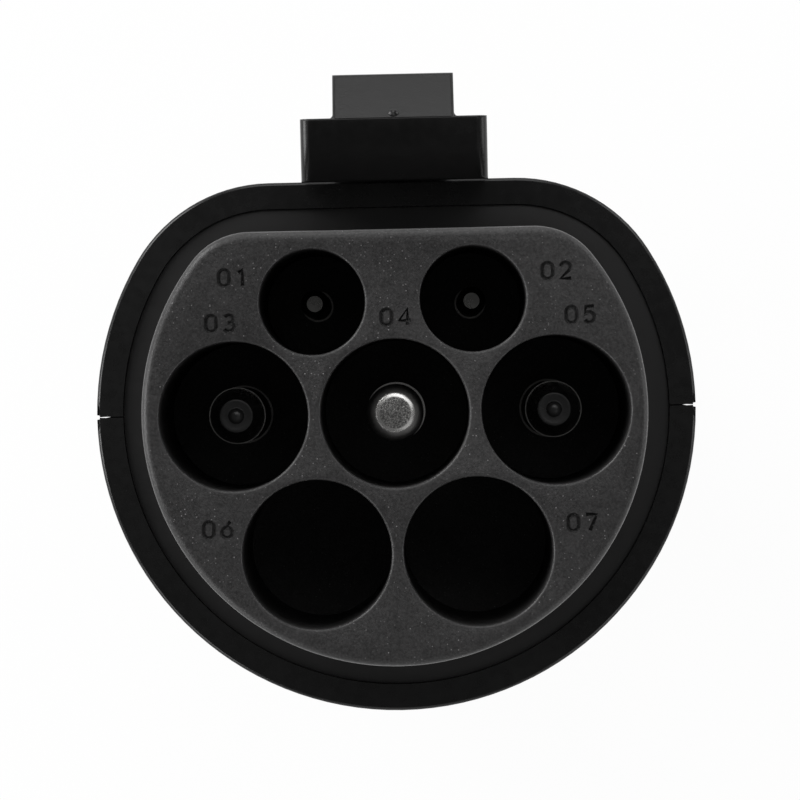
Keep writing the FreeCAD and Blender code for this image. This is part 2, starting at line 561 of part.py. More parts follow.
# Housing: two shells that meet at the axis plane, with a grip between two end collars
def make_shell(label, upper):
    body = new_body(label)
    outline = new_sketch(body, f"{label}_outline", offset=FOOT_END)
    draw_d(outline, "shell")
    extrude(body, "Pad", f"{label}_outer", outline, "sizes.shell_length")
    ends = (amount(FOOT_END), amount(PLUG_END))
    soften(body, "Chamfer", f"{label}_end_edges",
           lambda edge: any(lies_at_height(edge, end) for end in ends), "sizes.shell_edge")
    bore_sketch = new_sketch(body, f"{label}_inner_outline", offset=FOOT_END)
    draw_d(bore_sketch, "shell", "sizes.shell_wall")
    extrude(body, "Pocket", f"{label}_inner", bore_sketch, "sizes.shell_length", reverse=True)
    opening_depth = "(sizes.flange_recess + sizes.flange_step - sizes.rim_play)"
    groove_depth = "(sizes.rim_thickness + sizes.gasket_thickness + sizes.rim_play)"
    for end, place, sign in (("foot", FOOT_END, "+"), ("plug", PLUG_END, "-")):
        inwards = end == "foot"
        opening = new_sketch(body, f"{label}_{end}_opening_outline", offset=place)
        draw_d(opening, "shell", "sizes.lip_wall")
        extrude(body, "Pocket", f"{label}_{end}_opening", opening, opening_depth, reverse=inwards)
        groove = new_sketch(body, f"{label}_{end}_groove_outline", offset=f"{place} {sign} {opening_depth}")
        draw_d(groove, "shell", "sizes.groove_wall")
        extrude(body, "Pocket", f"{label}_{end}_groove", groove, groove_depth, reverse=inwards)

    half = new_sketch(body, f"{label}_half_outline", offset=FOOT_END)
    beyond = f"({LATCH_TOP} + sizes.shell_radius)"
    if upper:
        draw_box(half, f"-{beyond}", beyond, f"-{beyond}", "0")
    else:
        draw_box(half, f"-{beyond}", beyond, "0", beyond)
    extrude(body, "Pocket", f"{label}_half", half, "sizes.shell_length", reverse=True)

    add_bosses(body, label, upper)
    add_grip(body, label)
    add_seam(body, label, upper)
    if upper:
        add_hump(body, label)
        cut_channel(body, label)
    return body


def add_bosses(body, label, upper):
    """Four screw bosses that reach from the seam into the wall, and their holes."""

    def four(radius):
        return [circle for place in BOSS_PLACES for circle in mirrored_pair(BOSS_ACROSS, place, radius)]

    waist = "(sizes.shell_radius - sizes.waist_depth)"
    into_belly = f"sqrt({waist} * {waist} - ({BOSS_ACROSS} - sizes.boss_radius) ^ 2)"
    into_top = "sizes.shell_flat - sizes.shell_wall / 2"
    boss_sketch = new_sketch(body, f"{label}_boss_outline", role="XZ_Plane")
    draw_circles(boss_sketch, four("sizes.boss_radius"))
    extrude(body, "Pad", f"{label}_bosses", boss_sketch, into_top if upper else into_belly, reverse=upper)
    hole_sketch = new_sketch(body, f"{label}_hole_outline", role="XZ_Plane")
    if upper:
        draw_circles(hole_sketch, four("sizes.shell_screw + sizes.pin_play"))
        pilot = "sizes.shell_screw_length - sizes.shell_head_depth + sizes.screw_play"
        extrude(body, "Pocket", f"{label}_pilots", hole_sketch, pilot)
        return
    draw_circles(hole_sketch, four("sizes.shell_screw + sizes.screw_play"))
    extrude(body, "Pocket", f"{label}_holes", hole_sketch, "sizes.shell_radius", reverse=True)
    recess_sketch = new_sketch(body, f"{label}_recess_outline", role="XZ_Plane",
                               offset="sizes.shell_head_depth")
    draw_circles(recess_sketch, four("sizes.shell_head + sizes.head_play"))
    extrude(body, "Pocket", f"{label}_recesses", recess_sketch, "sizes.shell_radius", reverse=True)


def add_grip(body, label):
    """The waist between the end collars, and the finger grooves round it."""
    waist = "(sizes.shell_radius - sizes.waist_depth)"
    beyond = "(sizes.shell_radius + sizes.shell_wall)"
    foot = f"({FOOT_END} + sizes.collar_length)"
    head = f"({PLUG_END} - sizes.collar_length)"
    waist_sketch = new_sketch(body, f"{label}_waist_section", role="XZ_Plane")
    draw_polygon(waist_sketch, (
        ("sizes.shell_radius", foot), (waist, f"{foot} + sizes.waist_slope"),
        (waist, f"{head} - sizes.waist_slope"), ("sizes.shell_radius", head),
        (beyond, head), (beyond, foot)))
    turn(body, "Groove", f"{label}_waist", waist_sketch)
    middle = f"({FOOT_END} + sizes.shell_length / 2)"
    first = f"({middle} - (sizes.rib_count - 1) * sizes.rib_pitch / 2)"
    rib_sketch = new_sketch(body, f"{label}_rib_section", role="XZ_Plane")
    draw_polygon(rib_sketch, (
        (waist, f"{first} - sizes.rib_width / 2"), (f"{waist} - sizes.rib_depth", first),
        (waist, f"{first} + sizes.rib_width / 2"), (beyond, f"{first} + sizes.rib_width / 2"),
        (beyond, f"{first} - sizes.rib_width / 2")))
    rib = turn(body, "Groove", f"{label}_rib", rib_sketch)
    pattern(body, f"{label}_ribs", rib, "Z_Axis", "sizes.rib_count", "sizes.rib_pitch")


def add_seam(body, label, upper):
    """A notch along the outside of the seam, and a tongue that fits a groove inside it."""
    side = "1" if upper else "-1"
    mouth = "(sizes.shell_radius + sizes.seam_notch_height)"
    notch_sketch = new_sketch(body, f"{label}_notch_section", offset=FOOT_END)
    for hand in ("1", "-1"):
        draw_polygon(notch_sketch, (
            (f"{hand} * (sizes.shell_radius - sizes.seam_notch_depth)", "0"),
            (f"{hand} * {mouth}", f"{side} * sizes.seam_notch_height"),
            (f"{hand} * {mouth}", "0")))
    extrude(body, "Pocket", f"{label}_notches", notch_sketch, "sizes.shell_length", reverse=True)
    play = "sizes.tongue_play" if upper else "0"
    inner = f"({INNER_RADIUS} + sizes.tongue_inset - {play})"
    outer = f"({INNER_RADIUS} + sizes.tongue_inset + sizes.tongue_width + {play})"
    low = "0" if upper else "-sizes.tongue_height"
    start = f"{FOOT_END} + sizes.collar_length + sizes.waist_slope - {play}"
    length = f"sizes.shell_length - 2 * (sizes.collar_length + sizes.waist_slope - {play})"
    tongue_sketch = new_sketch(body, f"{label}_tongue_section", offset=start)
    for hand in ("1", "-1"):
        ends = (f"{hand} * {inner}", f"{hand} * {outer}")
        draw_box(tongue_sketch, *ends, low, f"sizes.tongue_height + {play}")
    kind = "Pocket" if upper else "Pad"
    extrude(body, kind, f"{label}_tongues", tongue_sketch, length, reverse=upper)


def add_hump(body, label):
    """The block on the flat top that the latch channel is cut from."""
    foot = f"({FOOT_END} + sizes.hump_foot)"
    head = f"({PLUG_END} - sizes.hump_front)"
    top = "(sizes.shell_flat + sizes.hump_height)"
    root = "(sizes.shell_flat - sizes.groove_wall / 2)"
    sketch = new_sketch(body, f"{label}_hump_section", role="YZ_Plane")
    draw_polygon(sketch, (
        (root, foot), ("sizes.shell_flat", foot), (top, f"{foot} + sizes.hump_slope"),
        (top, f"{head} - sizes.hump_front_slope"), ("sizes.shell_flat", head), (root, head)))
    extrude(body, "Pad", f"{label}_hump", sketch, "sizes.hump_width", symmetric=True)
    height, half_width = amount(top), amount("sizes.hump_width / 2")

    def along_top(edge):
        box = edge.BoundBox
        level = abs(box.YMin - height) < 1e-4 and abs(box.YMax - height) < 1e-4
        return level and abs(abs(box.XMin) - half_width) < 1e-4 and abs(box.XMax - box.XMin) < 1e-4

    soften(body, "Fillet", f"{label}_hump_edges", along_top, "sizes.hump_edge")


def cut_channel(body, label):
    """The channel between the cheeks, the pivot hole, the spring seat and the plunger hole."""
    foot = f"({PIVOT_Z} - sizes.heel_length - sizes.rear_gap)"
    half_width = "(sizes.bar_width / 2 + sizes.bar_play)"
    sketch = new_sketch(body, f"{label}_channel_outline", role="XZ_Plane", offset="-sizes.shell_flat")
    draw_box(sketch, f"-{half_width}", half_width, foot, PLUG_END)
    extrude(body, "Pocket", f"{label}_channel", sketch, "2 * sizes.hump_height")
    pivot_sketch = new_sketch(body, f"{label}_pivot_outline", role="YZ_Plane")
    draw_circles(pivot_sketch, [(PIVOT_Y, PIVOT_Z, "sizes.pivot_radius + sizes.pivot_play / 2")])
    extrude(body, "Pocket", f"{label}_pivot_hole", pivot_sketch, "2 * sizes.hump_width", symmetric=True)
    seat_sketch = new_sketch(body, f"{label}_seat_outline", role="XZ_Plane", offset="-sizes.shell_flat")
    draw_circles(seat_sketch, [("0", SPRING_Z, "sizes.spring_radius + sizes.spring_play")])
    extrude(body, "Pocket", f"{label}_spring_seat", seat_sketch, "sizes.lower_seat", reverse=True)
    plunger_sketch = new_sketch(body, f"{label}_plunger_outline", role="XZ_Plane", offset="-sizes.shell_flat")
    draw_circles(plunger_sketch, [("0", PLUNGER_Z, "sizes.plunger_radius + sizes.plunger_hole_play")])
    extrude(body, "Pocket", f"{label}_plunger_hole", plunger_sketch, "2 * sizes.shell_wall", reverse=True)


def latch_underside(place):
    """Height of the latch bar's sloping underside above the axis, at a place along the contacts."""
    low = f"({PIVOT_Y} - sizes.pivot_boss)"
    rise = f"(sizes.shell_flat + sizes.bar_rise - {low})"
    run = f"({PLUG_END} + sizes.hook_gap - {PIVOT_Z})"
    return f"({low} + {rise} * ({place} - {PIVOT_Z}) / {run})"


# Latch: a sprung lever with a broad hook head, an upright tooth and a thumb pad
def make_latch():
    body = new_body("latch_lever")
    flat = "sizes.shell_flat"
    under_rise = f"({flat} + sizes.bar_rise)"
    head_back = f"({PLUG_END} + sizes.hook_gap)"
    boss_low = f"({PIVOT_Y} - sizes.pivot_boss)"
    bar_top = f"({flat} + sizes.bar_top)"
    pad_top = f"({flat} + sizes.pad_top)"
    heel = f"({PIVOT_Z} - sizes.heel_length)"
    pad_foot = f"({PIVOT_Z} + sizes.pad_start)"
    pad_head = f"({pad_foot} + sizes.pad_length)"
    hook_top = f"({flat} + sizes.hook_top)"
    bar_sketch = new_sketch(body, "latch_bar_section", role="YZ_Plane")
    draw_polygon(bar_sketch, (
        (f"{flat} + sizes.heel_gap", heel), (f"{flat} + sizes.heel_gap", f"{PIVOT_Z} - sizes.pivot_radius"),
        (boss_low, PIVOT_Z), (under_rise, head_back), (hook_top, head_back),
        (hook_top, f"{head_back} + sizes.hook_gap"), (bar_top, f"{PLUG_END} - sizes.hook_gap"),
        (bar_top, f"{pad_head} + sizes.pad_slope"), (pad_top, pad_head), (pad_top, pad_foot),
        (f"{PIVOT_Y} + sizes.pivot_boss", PIVOT_Z), (f"{PIVOT_Y} + sizes.pivot_boss", heel)))
    extrude(body, "Pad", "latch_bar", bar_sketch, "sizes.bar_width", symmetric=True)

    head_sketch = new_sketch(body, "latch_head_section", role="YZ_Plane", offset="sizes.hook_shift")
    head_low = f"({flat} - sizes.hook_drop)"
    draw_polygon(head_sketch, (
        (f"{flat} - sizes.hook_back_drop", head_back), (head_low, f"{HOOK_FRONT} - sizes.hook_ramp"),
        (f"{head_low} + sizes.hook_ramp_height", HOOK_FRONT), (hook_top, HOOK_FRONT), (hook_top, head_back)))
    extrude(body, "Pad", "latch_head", head_sketch, "sizes.hook_width", symmetric=True)
    tooth_sketch = new_sketch(body, "latch_tooth_section", role="YZ_Plane", offset="sizes.hook_shift")
    tooth_foot = f"({hook_top} - sizes.tooth_fillet)"
    draw_polygon(tooth_sketch, (
        (tooth_foot, f"{HOOK_FRONT} - sizes.tooth_length"), (tooth_foot, HOOK_FRONT), (hook_top, HOOK_FRONT),
        (LATCH_TOP, f"{HOOK_FRONT} - sizes.tooth_ramp"), (LATCH_TOP, f"{HOOK_FRONT} - sizes.tooth_length")))
    extrude(body, "Pad", "latch_tooth", tooth_sketch, "sizes.tooth_width", symmetric=True)
    nub_sketch = new_sketch(body, "latch_nub_outline", offset=f"{HOOK_FRONT} - sizes.tooth_ramp")
    draw_circles(nub_sketch, [("sizes.hook_shift", hook_top, "sizes.nub_radius")])
    extrude(body, "Pad", "latch_nub", nub_sketch, "sizes.tooth_ramp")

    pivot_sketch = new_sketch(body, "latch_pivot_outline", role="YZ_Plane")
    draw_circles(pivot_sketch, [(PIVOT_Y, PIVOT_Z, "sizes.pivot_radius + sizes.pivot_play")])
    extrude(body, "Pocket", "latch_pivot_hole", pivot_sketch, "2 * sizes.bar_width", symmetric=True)
    seat_top = f"({latch_underside(SPRING_Z)} + sizes.upper_seat)"
    seat_sketch = new_sketch(body, "latch_seat_outline", role="XZ_Plane", offset=f"-{seat_top}")
    draw_circles(seat_sketch, [("0", SPRING_Z, "sizes.spring_radius + sizes.spring_play")])
    extrude(body, "Pocket", "latch_spring_seat", seat_sketch, "2 * sizes.upper_seat", reverse=True)
    ridge_sketch = new_sketch(body, "latch_ridge_section", role="YZ_Plane")
    spare = "(sizes.pad_length - (sizes.pad_ridge_count - 1) * sizes.pad_ridge_pitch)"
    ridge = f"({pad_foot} + {spare} / 2)"
    depth = "sizes.pad_ridge_depth"
    draw_polygon(ridge_sketch, (
        (f"{pad_top} + {depth}", f"{ridge} - 2 * {depth}"), (f"{pad_top} - {depth}", ridge),
        (f"{pad_top} + {depth}", f"{ridge} + 2 * {depth}")))
    groove = extrude(body, "Pocket", "latch_ridge", ridge_sketch, "2 * sizes.bar_width", symmetric=True)
    pattern(body, "latch_ridges", groove, "Z_Axis", "sizes.pad_ridge_count", "sizes.pad_ridge_pitch")

    top = amount(hook_top)
    shift = amount("sizes.hook_shift")
    half_tooth = amount("sizes.tooth_width / 2")

    def at_tooth_foot(edge):
        box = edge.BoundBox
        level = abs(box.YMin - top) < 1e-4 and abs(box.YMax - top) < 1e-4
        side = abs(abs(box.XMin - shift) - half_tooth) < 1e-4 and abs(box.XMax - box.XMin) < 1e-4
        return level and side

    soften(body, "Fillet", "latch_tooth_flares", at_tooth_foot, "sizes.tooth_fillet")
    return body


def make_pivot_pin():
    body = new_body("latch_pivot_pin")
    sketch = new_sketch(body, "pivot_pin_outline", role="YZ_Plane")
    draw_circles(sketch, [(PIVOT_Y, PIVOT_Z, "sizes.pivot_radius")])
    extrude(body, "Pad", "pivot_pin_rod", sketch, "sizes.hump_width", symmetric=True)


def make_spring():
    """A coil of wire with a six-sided section, between its seats in the flat top and in the latch."""
    body = new_body("latch_spring", keyed=False)
    foot = "(sizes.shell_flat - sizes.lower_seat + sizes.spring_gap)"
    head = f"({latch_underside(SPRING_Z)} + sizes.upper_seat - sizes.spring_gap)"
    body.Placement.Rotation = FreeCAD.Rotation(FreeCAD.Vector(1, 0, 0), -90)
    body.setExpression("Placement.Base.y", f"{AXIS_Y} + {foot} + sizes.spring_wire")
    body.setExpression("Placement.Base.z", SPRING_Z)
    sketch = new_sketch(body, "spring_wire_section", role="XZ_Plane")
    across = "(sizes.spring_radius - sizes.spring_wire)"
    half = "sizes.spring_wire / 2"
    draw_polygon(sketch, (
        (f"{across} - sizes.spring_wire", "0"), (f"{across} - {half}", "-sizes.spring_wire"),
        (f"{across} + {half}", "-sizes.spring_wire"), ("sizes.spring_radius", "0"),
        (f"{across} + {half}", "sizes.spring_wire"), (f"{across} - {half}", "sizes.spring_wire")))
    coil = body.newObject("PartDesign::AdditiveHelix", "spring_coil")
    coil.Profile = sketch
    coil.ReferenceAxis = (sketch, ["V_Axis"])
    coil.Mode = "height-turns-angle"
    coil.setExpression("Height", f"{head} - {foot} - 2 * sizes.spring_wire")
    coil.setExpression("Turns", "sizes.spring_turns")


# Board, its resistors and the latch switch
def make_board():
    body = new_body("signal_board")
    sketch = new_sketch(body, "board_outline", offset=BOARD_FOOT)
    draw_d(sketch, "shell", "sizes.shell_wall + sizes.board_inset")
    draw_circles(sketch, contact_circles(FITTED, "sizes.power_shank + sizes.board_hole_play"))
    extrude(body, "Pad", "board_plate", sketch, "sizes.board_thickness")


def make_resistors():
    parts = []
    for number in (-1, 0, 1):
        resistor = doc.addObject("Part::Box", f"resistor_{number + 2}")
        resistor.setExpression("Length", "sizes.resistor_width")
        resistor.setExpression("Width", "sizes.resistor_length")
        resistor.setExpression("Height", "sizes.resistor_height")
        place = f"{number} * sizes.resistor_pitch - sizes.resistor_width / 2"
        resistor.setExpression("Placement.Base.x", place)
        down = "sizes.resistor_down + sizes.resistor_length / 2"
        resistor.setExpression("Placement.Base.y", f"{AXIS_Y} - ({down})")
        resistor.setExpression("Placement.Base.z", BOARD_HEAD)
        parts.append(resistor)
    group = doc.addObject("Part::Compound", "coding_resistors")
    group.Label = "coding_resistors"
    group.Links = parts


def make_switch():
    body = new_body("micro_switch")
    sketch = new_sketch(body, "switch_outline", offset=BOARD_HEAD)
    bottom = f"({SWITCH_TOP} - sizes.switch_height)"
    draw_box(sketch, "-sizes.switch_length / 2", "sizes.switch_length / 2", bottom, SWITCH_TOP)
    extrude(body, "Pad", "switch_case", sketch, "sizes.switch_width")
    bore = new_sketch(body, "switch_bore_outline", role="XZ_Plane", offset=f"-{SWITCH_TOP}")
    draw_circles(bore, [("0", PLUNGER_Z, "sizes.plunger_radius + sizes.plunger_play")])
    extrude(body, "Pocket", "switch_bore", bore, "sizes.plunger_depth + sizes.plunger_travel", reverse=True)


def make_plunger():
    body = new_body("switch_plunger")
    nearest = f"({PLUNGER_Z} - sizes.plunger_radius)"
    head = f"({latch_underside(nearest)} - sizes.latch_gap)"
    sketch = new_sketch(body, "plunger_outline", role="XZ_Plane", offset=f"-{head}")
    draw_circles(sketch, [("0", PLUNGER_Z, "sizes.plunger_radius")])
    extrude(body, "Pad", "plunger_rod", sketch, f"{head} - {SWITCH_TOP} + sizes.plunger_depth")


# Screws: shank and round head, one group of solids for each kind
def make_screws(label, screws, radius, length, head_radius, head_height):
    """Screws given by where the head's underside lies and which way the shank points."""
    parts = []
    for number, (place, direction) in enumerate(screws, start=1):
        shank = doc.addObject("Part::Cylinder", f"{label}_shank_{number}")
        shank.setExpression("Radius", radius)
        shank.setExpression("Height", length)
        head = doc.addObject("Part::Cylinder", f"{label}_head_{number}")
        head.setExpression("Radius", head_radius)
        head.setExpression("Height", head_height)
        head.setExpression("Placement.Base.z", f"-({head_height})")
        screw = doc.addObject("Part::Fuse", f"{label}_{number}")
        screw.Base = shank
        screw.Tool = head
        screw.Placement.Rotation = FreeCAD.Rotation(FreeCAD.Vector(0, 0, 1), FreeCAD.Vector(*direction))
        for axis, formula in zip("xyz", place):
            screw.setExpression(f"Placement.Base.{axis}", formula)
        parts.append(screw)
    group = doc.addObject("Part::Compound", label)
    group.Label = label
    group.Links = parts


def make_all_screws():
    plug_back = f"({PLUG_END} - {INSERT_DEPTH} - sizes.retainer_thickness)"
    inlet_back = f"({FOOT_END} + {INSERT_DEPTH} + sizes.retainer_thickness)"
    places = [(across, f"{AXIS_Y} + {up}") for across, up, radius in retainer_screw_circles("0")]
    small = [((across, up, plug_back), (0, 0, 1)) for across, up in places]
    small += [((across, up, inlet_back), (0, 0, -1)) for across, up in places]
    make_screws("retainer_screws", small, "sizes.small_screw", "sizes.small_screw_length",
                "sizes.small_head", "sizes.small_head_height")
    large = []
    for height in BOSS_PLACES:
        for hand in ("-1", "1"):
            place = (f"{hand} * {BOSS_ACROSS}", f"{AXIS_Y} - sizes.shell_head_depth", height)
            large.append((place, (0, 1, 0)))
    make_screws("shell_screws", large, "sizes.shell_screw", "sizes.shell_screw_length",
                "sizes.shell_head", "sizes.shell_head_height")


def build():
    make_shell("upper_shell", upper=True)
    make_shell("lower_shell", upper=False)
    place_at_plug(make_insert("plug_insert", "sizes.plug_reach", ("power", "signal")))
    place_at_inlet(make_insert("inlet_insert", "sizes.inlet_reach", ("signal",)))
    place_at_plug(make_gasket("plug_gasket"))
    place_at_inlet(make_gasket("inlet_gasket"))
    back = f"({INSERT_DEPTH} + sizes.retainer_thickness)"
    place_at_plug(make_retainer("plug_retainer", f"{PLUG_END} - {back} - {BOARD_HEAD}"))
    place_at_inlet(make_retainer("inlet_retainer", f"{BOARD_FOOT} - {FOOT_END} - {back}"))
    make_earth_pin()
    for label in ("l1", "n"):
        make_power_pin(label)
        make_guard(f"{label}_plug_tip", label, at_plug=True)
        make_guard(f"{label}_inlet_tip", label, at_plug=False)
    make_signal_pin("cc_plug_pin", "cc", at_plug=True)
    make_signal_pin("cp_plug_pin", "cp", at_plug=True)
    make_signal_pin("pp_inlet_pin", "cc", at_plug=False)
    make_signal_pin("cp_inlet_pin", "cp", at_plug=False)
    make_board()
    make_resistors()
    make_switch()
    make_plunger()
    make_latch()
    make_pivot_pin()
    make_spring()
    make_all_screws()


NODES = (
    "upper_shell", "lower_shell", "plug_insert", "inlet_insert", "plug_gasket", "inlet_gasket",
    "plug_retainer", "inlet_retainer", "retainer_screws", "shell_screws", "pe_pin", "l1_pin", "n_pin",
    "l1_plug_tip", "n_plug_tip", "l1_inlet_tip", "n_inlet_tip", "cc_plug_pin", "cp_plug_pin",
    "pp_inlet_pin", "cp_inlet_pin", "signal_board", "coding_resistors", "micro_switch",
    "switch_plunger", "latch_lever", "latch_pivot_pin", "latch_spring",
)

build()
doc.recompute()
for item in doc.Objects:
    if "Invalid" in item.State or "Error" in item.State:
        raise RuntimeError(f"{item.Label} failed: {item.State}")
parts = [doc.getObjectsByLabel(node)[0] for node in NODES]
for part in parts:
    if part.Shape.isNull() or not part.Shape.isValid():
        raise RuntimeError(f"{part.Label} has no valid shape")

os.makedirs("parts", exist_ok=True)
for part in parts:
    part.Shape.exportStep(f"parts/{part.Label}.step")
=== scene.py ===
"""Looks of the charging adapter.

Lengths are metres, in the model's own frame. Meshes are drawn in millimetres about the contacts' axis, and
new_piece turns them into metres.
"""
import bmesh
import bpy
import math
from mathutils import Matrix, Vector


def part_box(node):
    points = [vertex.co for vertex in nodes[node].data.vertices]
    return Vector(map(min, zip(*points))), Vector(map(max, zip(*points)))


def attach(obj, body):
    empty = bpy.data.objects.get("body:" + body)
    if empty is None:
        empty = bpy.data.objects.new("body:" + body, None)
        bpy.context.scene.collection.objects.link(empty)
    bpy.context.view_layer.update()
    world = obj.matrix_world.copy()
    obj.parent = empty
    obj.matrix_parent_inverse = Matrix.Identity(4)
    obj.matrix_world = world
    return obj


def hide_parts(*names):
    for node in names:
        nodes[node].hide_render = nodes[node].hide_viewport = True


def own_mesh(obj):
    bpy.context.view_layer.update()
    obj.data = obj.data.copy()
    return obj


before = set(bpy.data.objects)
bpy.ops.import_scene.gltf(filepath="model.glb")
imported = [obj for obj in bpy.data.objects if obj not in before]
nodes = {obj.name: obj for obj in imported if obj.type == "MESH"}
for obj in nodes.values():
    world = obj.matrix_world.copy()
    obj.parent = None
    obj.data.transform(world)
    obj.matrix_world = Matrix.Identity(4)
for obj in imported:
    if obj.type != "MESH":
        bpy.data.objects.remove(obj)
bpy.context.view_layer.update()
scene = bpy.context.scene
scene.view_settings.view_transform = "Standard"

MM = 0.001
earth_low, earth_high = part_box("pe_pin")
DROP = (earth_low.y + earth_high.y) / 2     # the contacts' axis lies this far off the frame's Z axis, along Y
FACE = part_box("plug_insert")[1].z           # height of the plug's face
HOUSING_FOOT, HOUSING_TOP = 40.0, 118.0     # heights of the housing's two ends, in millimetres
BARREL_LENGTH = 40.0                        # how far a barrel stands out of the housing, in millimetres


# Camera: above the plug face, a little to the right and up, and rolled so that the right side stands higher
PICTURE_PIXELS = 800
FOCAL_PIXELS = 5790.0
NADIR_PIXELS = Vector((19.62, 18.27))   # where the straight-down direction shows, from the picture's middle
ROLL = math.radians(-1.26)
SENSOR_WIDTH = 36.0
CAMERA_RIGHT, CAMERA_UP = 2.64, 3.18    # from the contacts' axis, in millimetres
CAMERA_HEIGHT = 0.600                   # over the plug's face
camera_data = bpy.data.cameras.new("camera")
camera_data.sensor_fit = "HORIZONTAL"
camera_data.sensor_width = SENSOR_WIDTH
camera_data.lens = FOCAL_PIXELS / PICTURE_PIXELS * SENSOR_WIDTH
camera_data.clip_start = 0.01
camera = bpy.data.objects.new("camera", camera_data)
scene.collection.objects.link(camera)
straight_down = Vector((NADIR_PIXELS.x, NADIR_PIXELS.y, -FOCAL_PIXELS)).normalized()
tilt = straight_down.rotation_difference(Vector((0, 0, -1))).to_matrix().to_4x4()
camera.matrix_world = (Matrix.Translation((CAMERA_RIGHT * MM, CAMERA_UP * MM + DROP, FACE + CAMERA_HEIGHT))
                       @ Matrix.Rotation(ROLL, 4, "Z") @ tilt)
scene.camera = camera


class Tree:
    """Builds the node tree of a material or a world, starting from an empty one."""

    def __init__(self, holder):
        holder.use_nodes = True
        self.tree = holder.node_tree
        self.tree.nodes.clear()

    def add(self, kind, inputs=None, **settings):
        """A new node. Each input is a value or another node's socket."""
        node = self.tree.nodes.new(kind)
        for name, value in settings.items():
            setattr(node, name, value)
        for name, value in (inputs or {}).items():
            if isinstance(value, bpy.types.NodeSocket):
                self.tree.links.new(value, node.inputs[name])
            else:
                node.inputs[name].default_value = value
        return node

    def math(self, operation, first, second=0.0):
        return self.add("ShaderNodeMath", {0: first, 1: second}, operation=operation).outputs[0]

    def ramp(self, value, low, high, start, end):
        """start up to low, end from high on, and an even rise or fall between them."""
        node = self.add("ShaderNodeMapRange", {"Value": value, "From Min": low, "From Max": high,
                                               "To Min": start, "To Max": end}, clamp=True)
        return node.outputs["Result"]

    def noise(self, place, scale, detail=3.0, roughness=0.55):
        node = self.add("ShaderNodeTexNoise", {"Vector": place, "Scale": scale, "Detail": detail,
                                               "Roughness": roughness})
        return node.outputs["Fac"]

    def height(self, place):
        return self.add("ShaderNodeSeparateXYZ", {0: place}).outputs["Z"]

    def tinted(self, value, tint):
        """A tint, as bright as a value says."""
        parts = [self.math("MULTIPLY", value, part) for part in tint]
        return self.add("ShaderNodeCombineColor", dict(enumerate(parts))).outputs[0]

    def grey(self, value):
        return self.add("ShaderNodeCombineColor", {0: value, 1: value, 2: value}).outputs[0]


# Materials
STEP_PAINTED_SHADE = 0.42               # painted shade: how much darker the insert's smooth step is painted than its grained face
STEP_FADE = (0.0388, 0.0398)    # the step gives way to the barrel between these distances from the middle
GRAIN_DEPTH = 0.00006           # of plastic
SCRATCH_DEPTH = 0.00003         # of metal
WORN_FADE = 0.00001
EARTH_WORN_ABOVE = 0.150997     # just under the flat end of the earth pin, which stands at 0.151


def far_from_middle(tree, place):
    """1 on an insert's barrel and face, 0 on the smooth step at its foot, where the shade is painted."""
    away = tree.math("ABSOLUTE", tree.math("SUBTRACT", tree.height(place), FACE / 2))
    return tree.ramp(away, *STEP_FADE, 0.0, 1.0)


def plastic(name, shade, roughness, grain, tint=(1.0, 1.0, 1.0), specks=0.0, specular=0.5, blotch=0.12,
            mottle=0.08, smooth_step_painted_shade=False):
    """Moulded plastic: a fine grain in the surface, soft blotches in its gloss and a few light specks. If
    asked, the insert's step is left without grain and painted darker, as painted shade.
    """
    material = bpy.data.materials.new(name)
    tree = Tree(material)
    place = tree.add("ShaderNodeTexCoord").outputs["Object"]
    fine = tree.noise(place, 4200.0, 2.0, 0.6)
    middle = tree.noise(place, 900.0, 3.0, 0.5)
    broad = tree.noise(place, 55.0, 4.0, 0.6)
    level = tree.math("MULTIPLY", tree.ramp(broad, 0.3, 0.7, 1.0 - blotch, 1.0 + blotch), shade)
    level = tree.math("MULTIPLY", level, tree.ramp(middle, 0.35, 0.65, 0.94, 1.06))
    level = tree.math("MULTIPLY", level, tree.ramp(fine, 0.3, 0.7, 1.0 - mottle, 1.0 + mottle))
    if specks:
        spots = tree.add("ShaderNodeTexVoronoi", {"Vector": place, "Scale": 2600.0}, feature="F1")
        near = tree.ramp(spots.outputs["Distance"], 0.08, 0.22, 1.0, 0.0)
        near = tree.math("MULTIPLY", near, tree.ramp(tree.noise(place, 260.0), 0.4, 0.62, 0.1, 1.0))
        chosen = tree.ramp(tree.add("ShaderNodeSeparateColor", {0: spots.outputs["Color"]}).outputs[0],
                           0.5, 0.8, 0.0, 1.0)
        level = tree.math("ADD", level, tree.math("MULTIPLY", tree.math("MULTIPLY", near, chosen), specks))
    height = tree.math("ADD", tree.math("MULTIPLY", fine, 0.55), tree.math("MULTIPLY", middle, 0.45))
    # the step is smooth and without grain, and it is painted darker: painted shade where it lies deep between
    # the housing's rim and the barrel
    if smooth_step_painted_shade:
        textured = far_from_middle(tree, place)
        painted_step_level = tree.math("MULTIPLY", tree.math("SUBTRACT", 1.0, textured), shade * STEP_PAINTED_SHADE)
        level = tree.math("ADD", tree.math("MULTIPLY", level, textured), painted_step_level)
        height = tree.math("MULTIPLY", height, textured)
    gloss = tree.ramp(tree.math("ADD", tree.math("MULTIPLY", broad, 0.6), tree.math("MULTIPLY", middle, 0.4)),
                      0.35, 0.65, roughness - 0.05, roughness + 0.05)
    bump = tree.add("ShaderNodeBump", {"Strength": grain, "Distance": GRAIN_DEPTH, "Height": height})
    shader = tree.add("ShaderNodeBsdfPrincipled", {
        "Base Color": tree.tinted(level, tint), "Roughness": gloss, "Normal": bump.outputs["Normal"],
        "Specular IOR Level": specular})
    tree.add("ShaderNodeOutputMaterial", {"Surface": shader.outputs[0]})
    return material


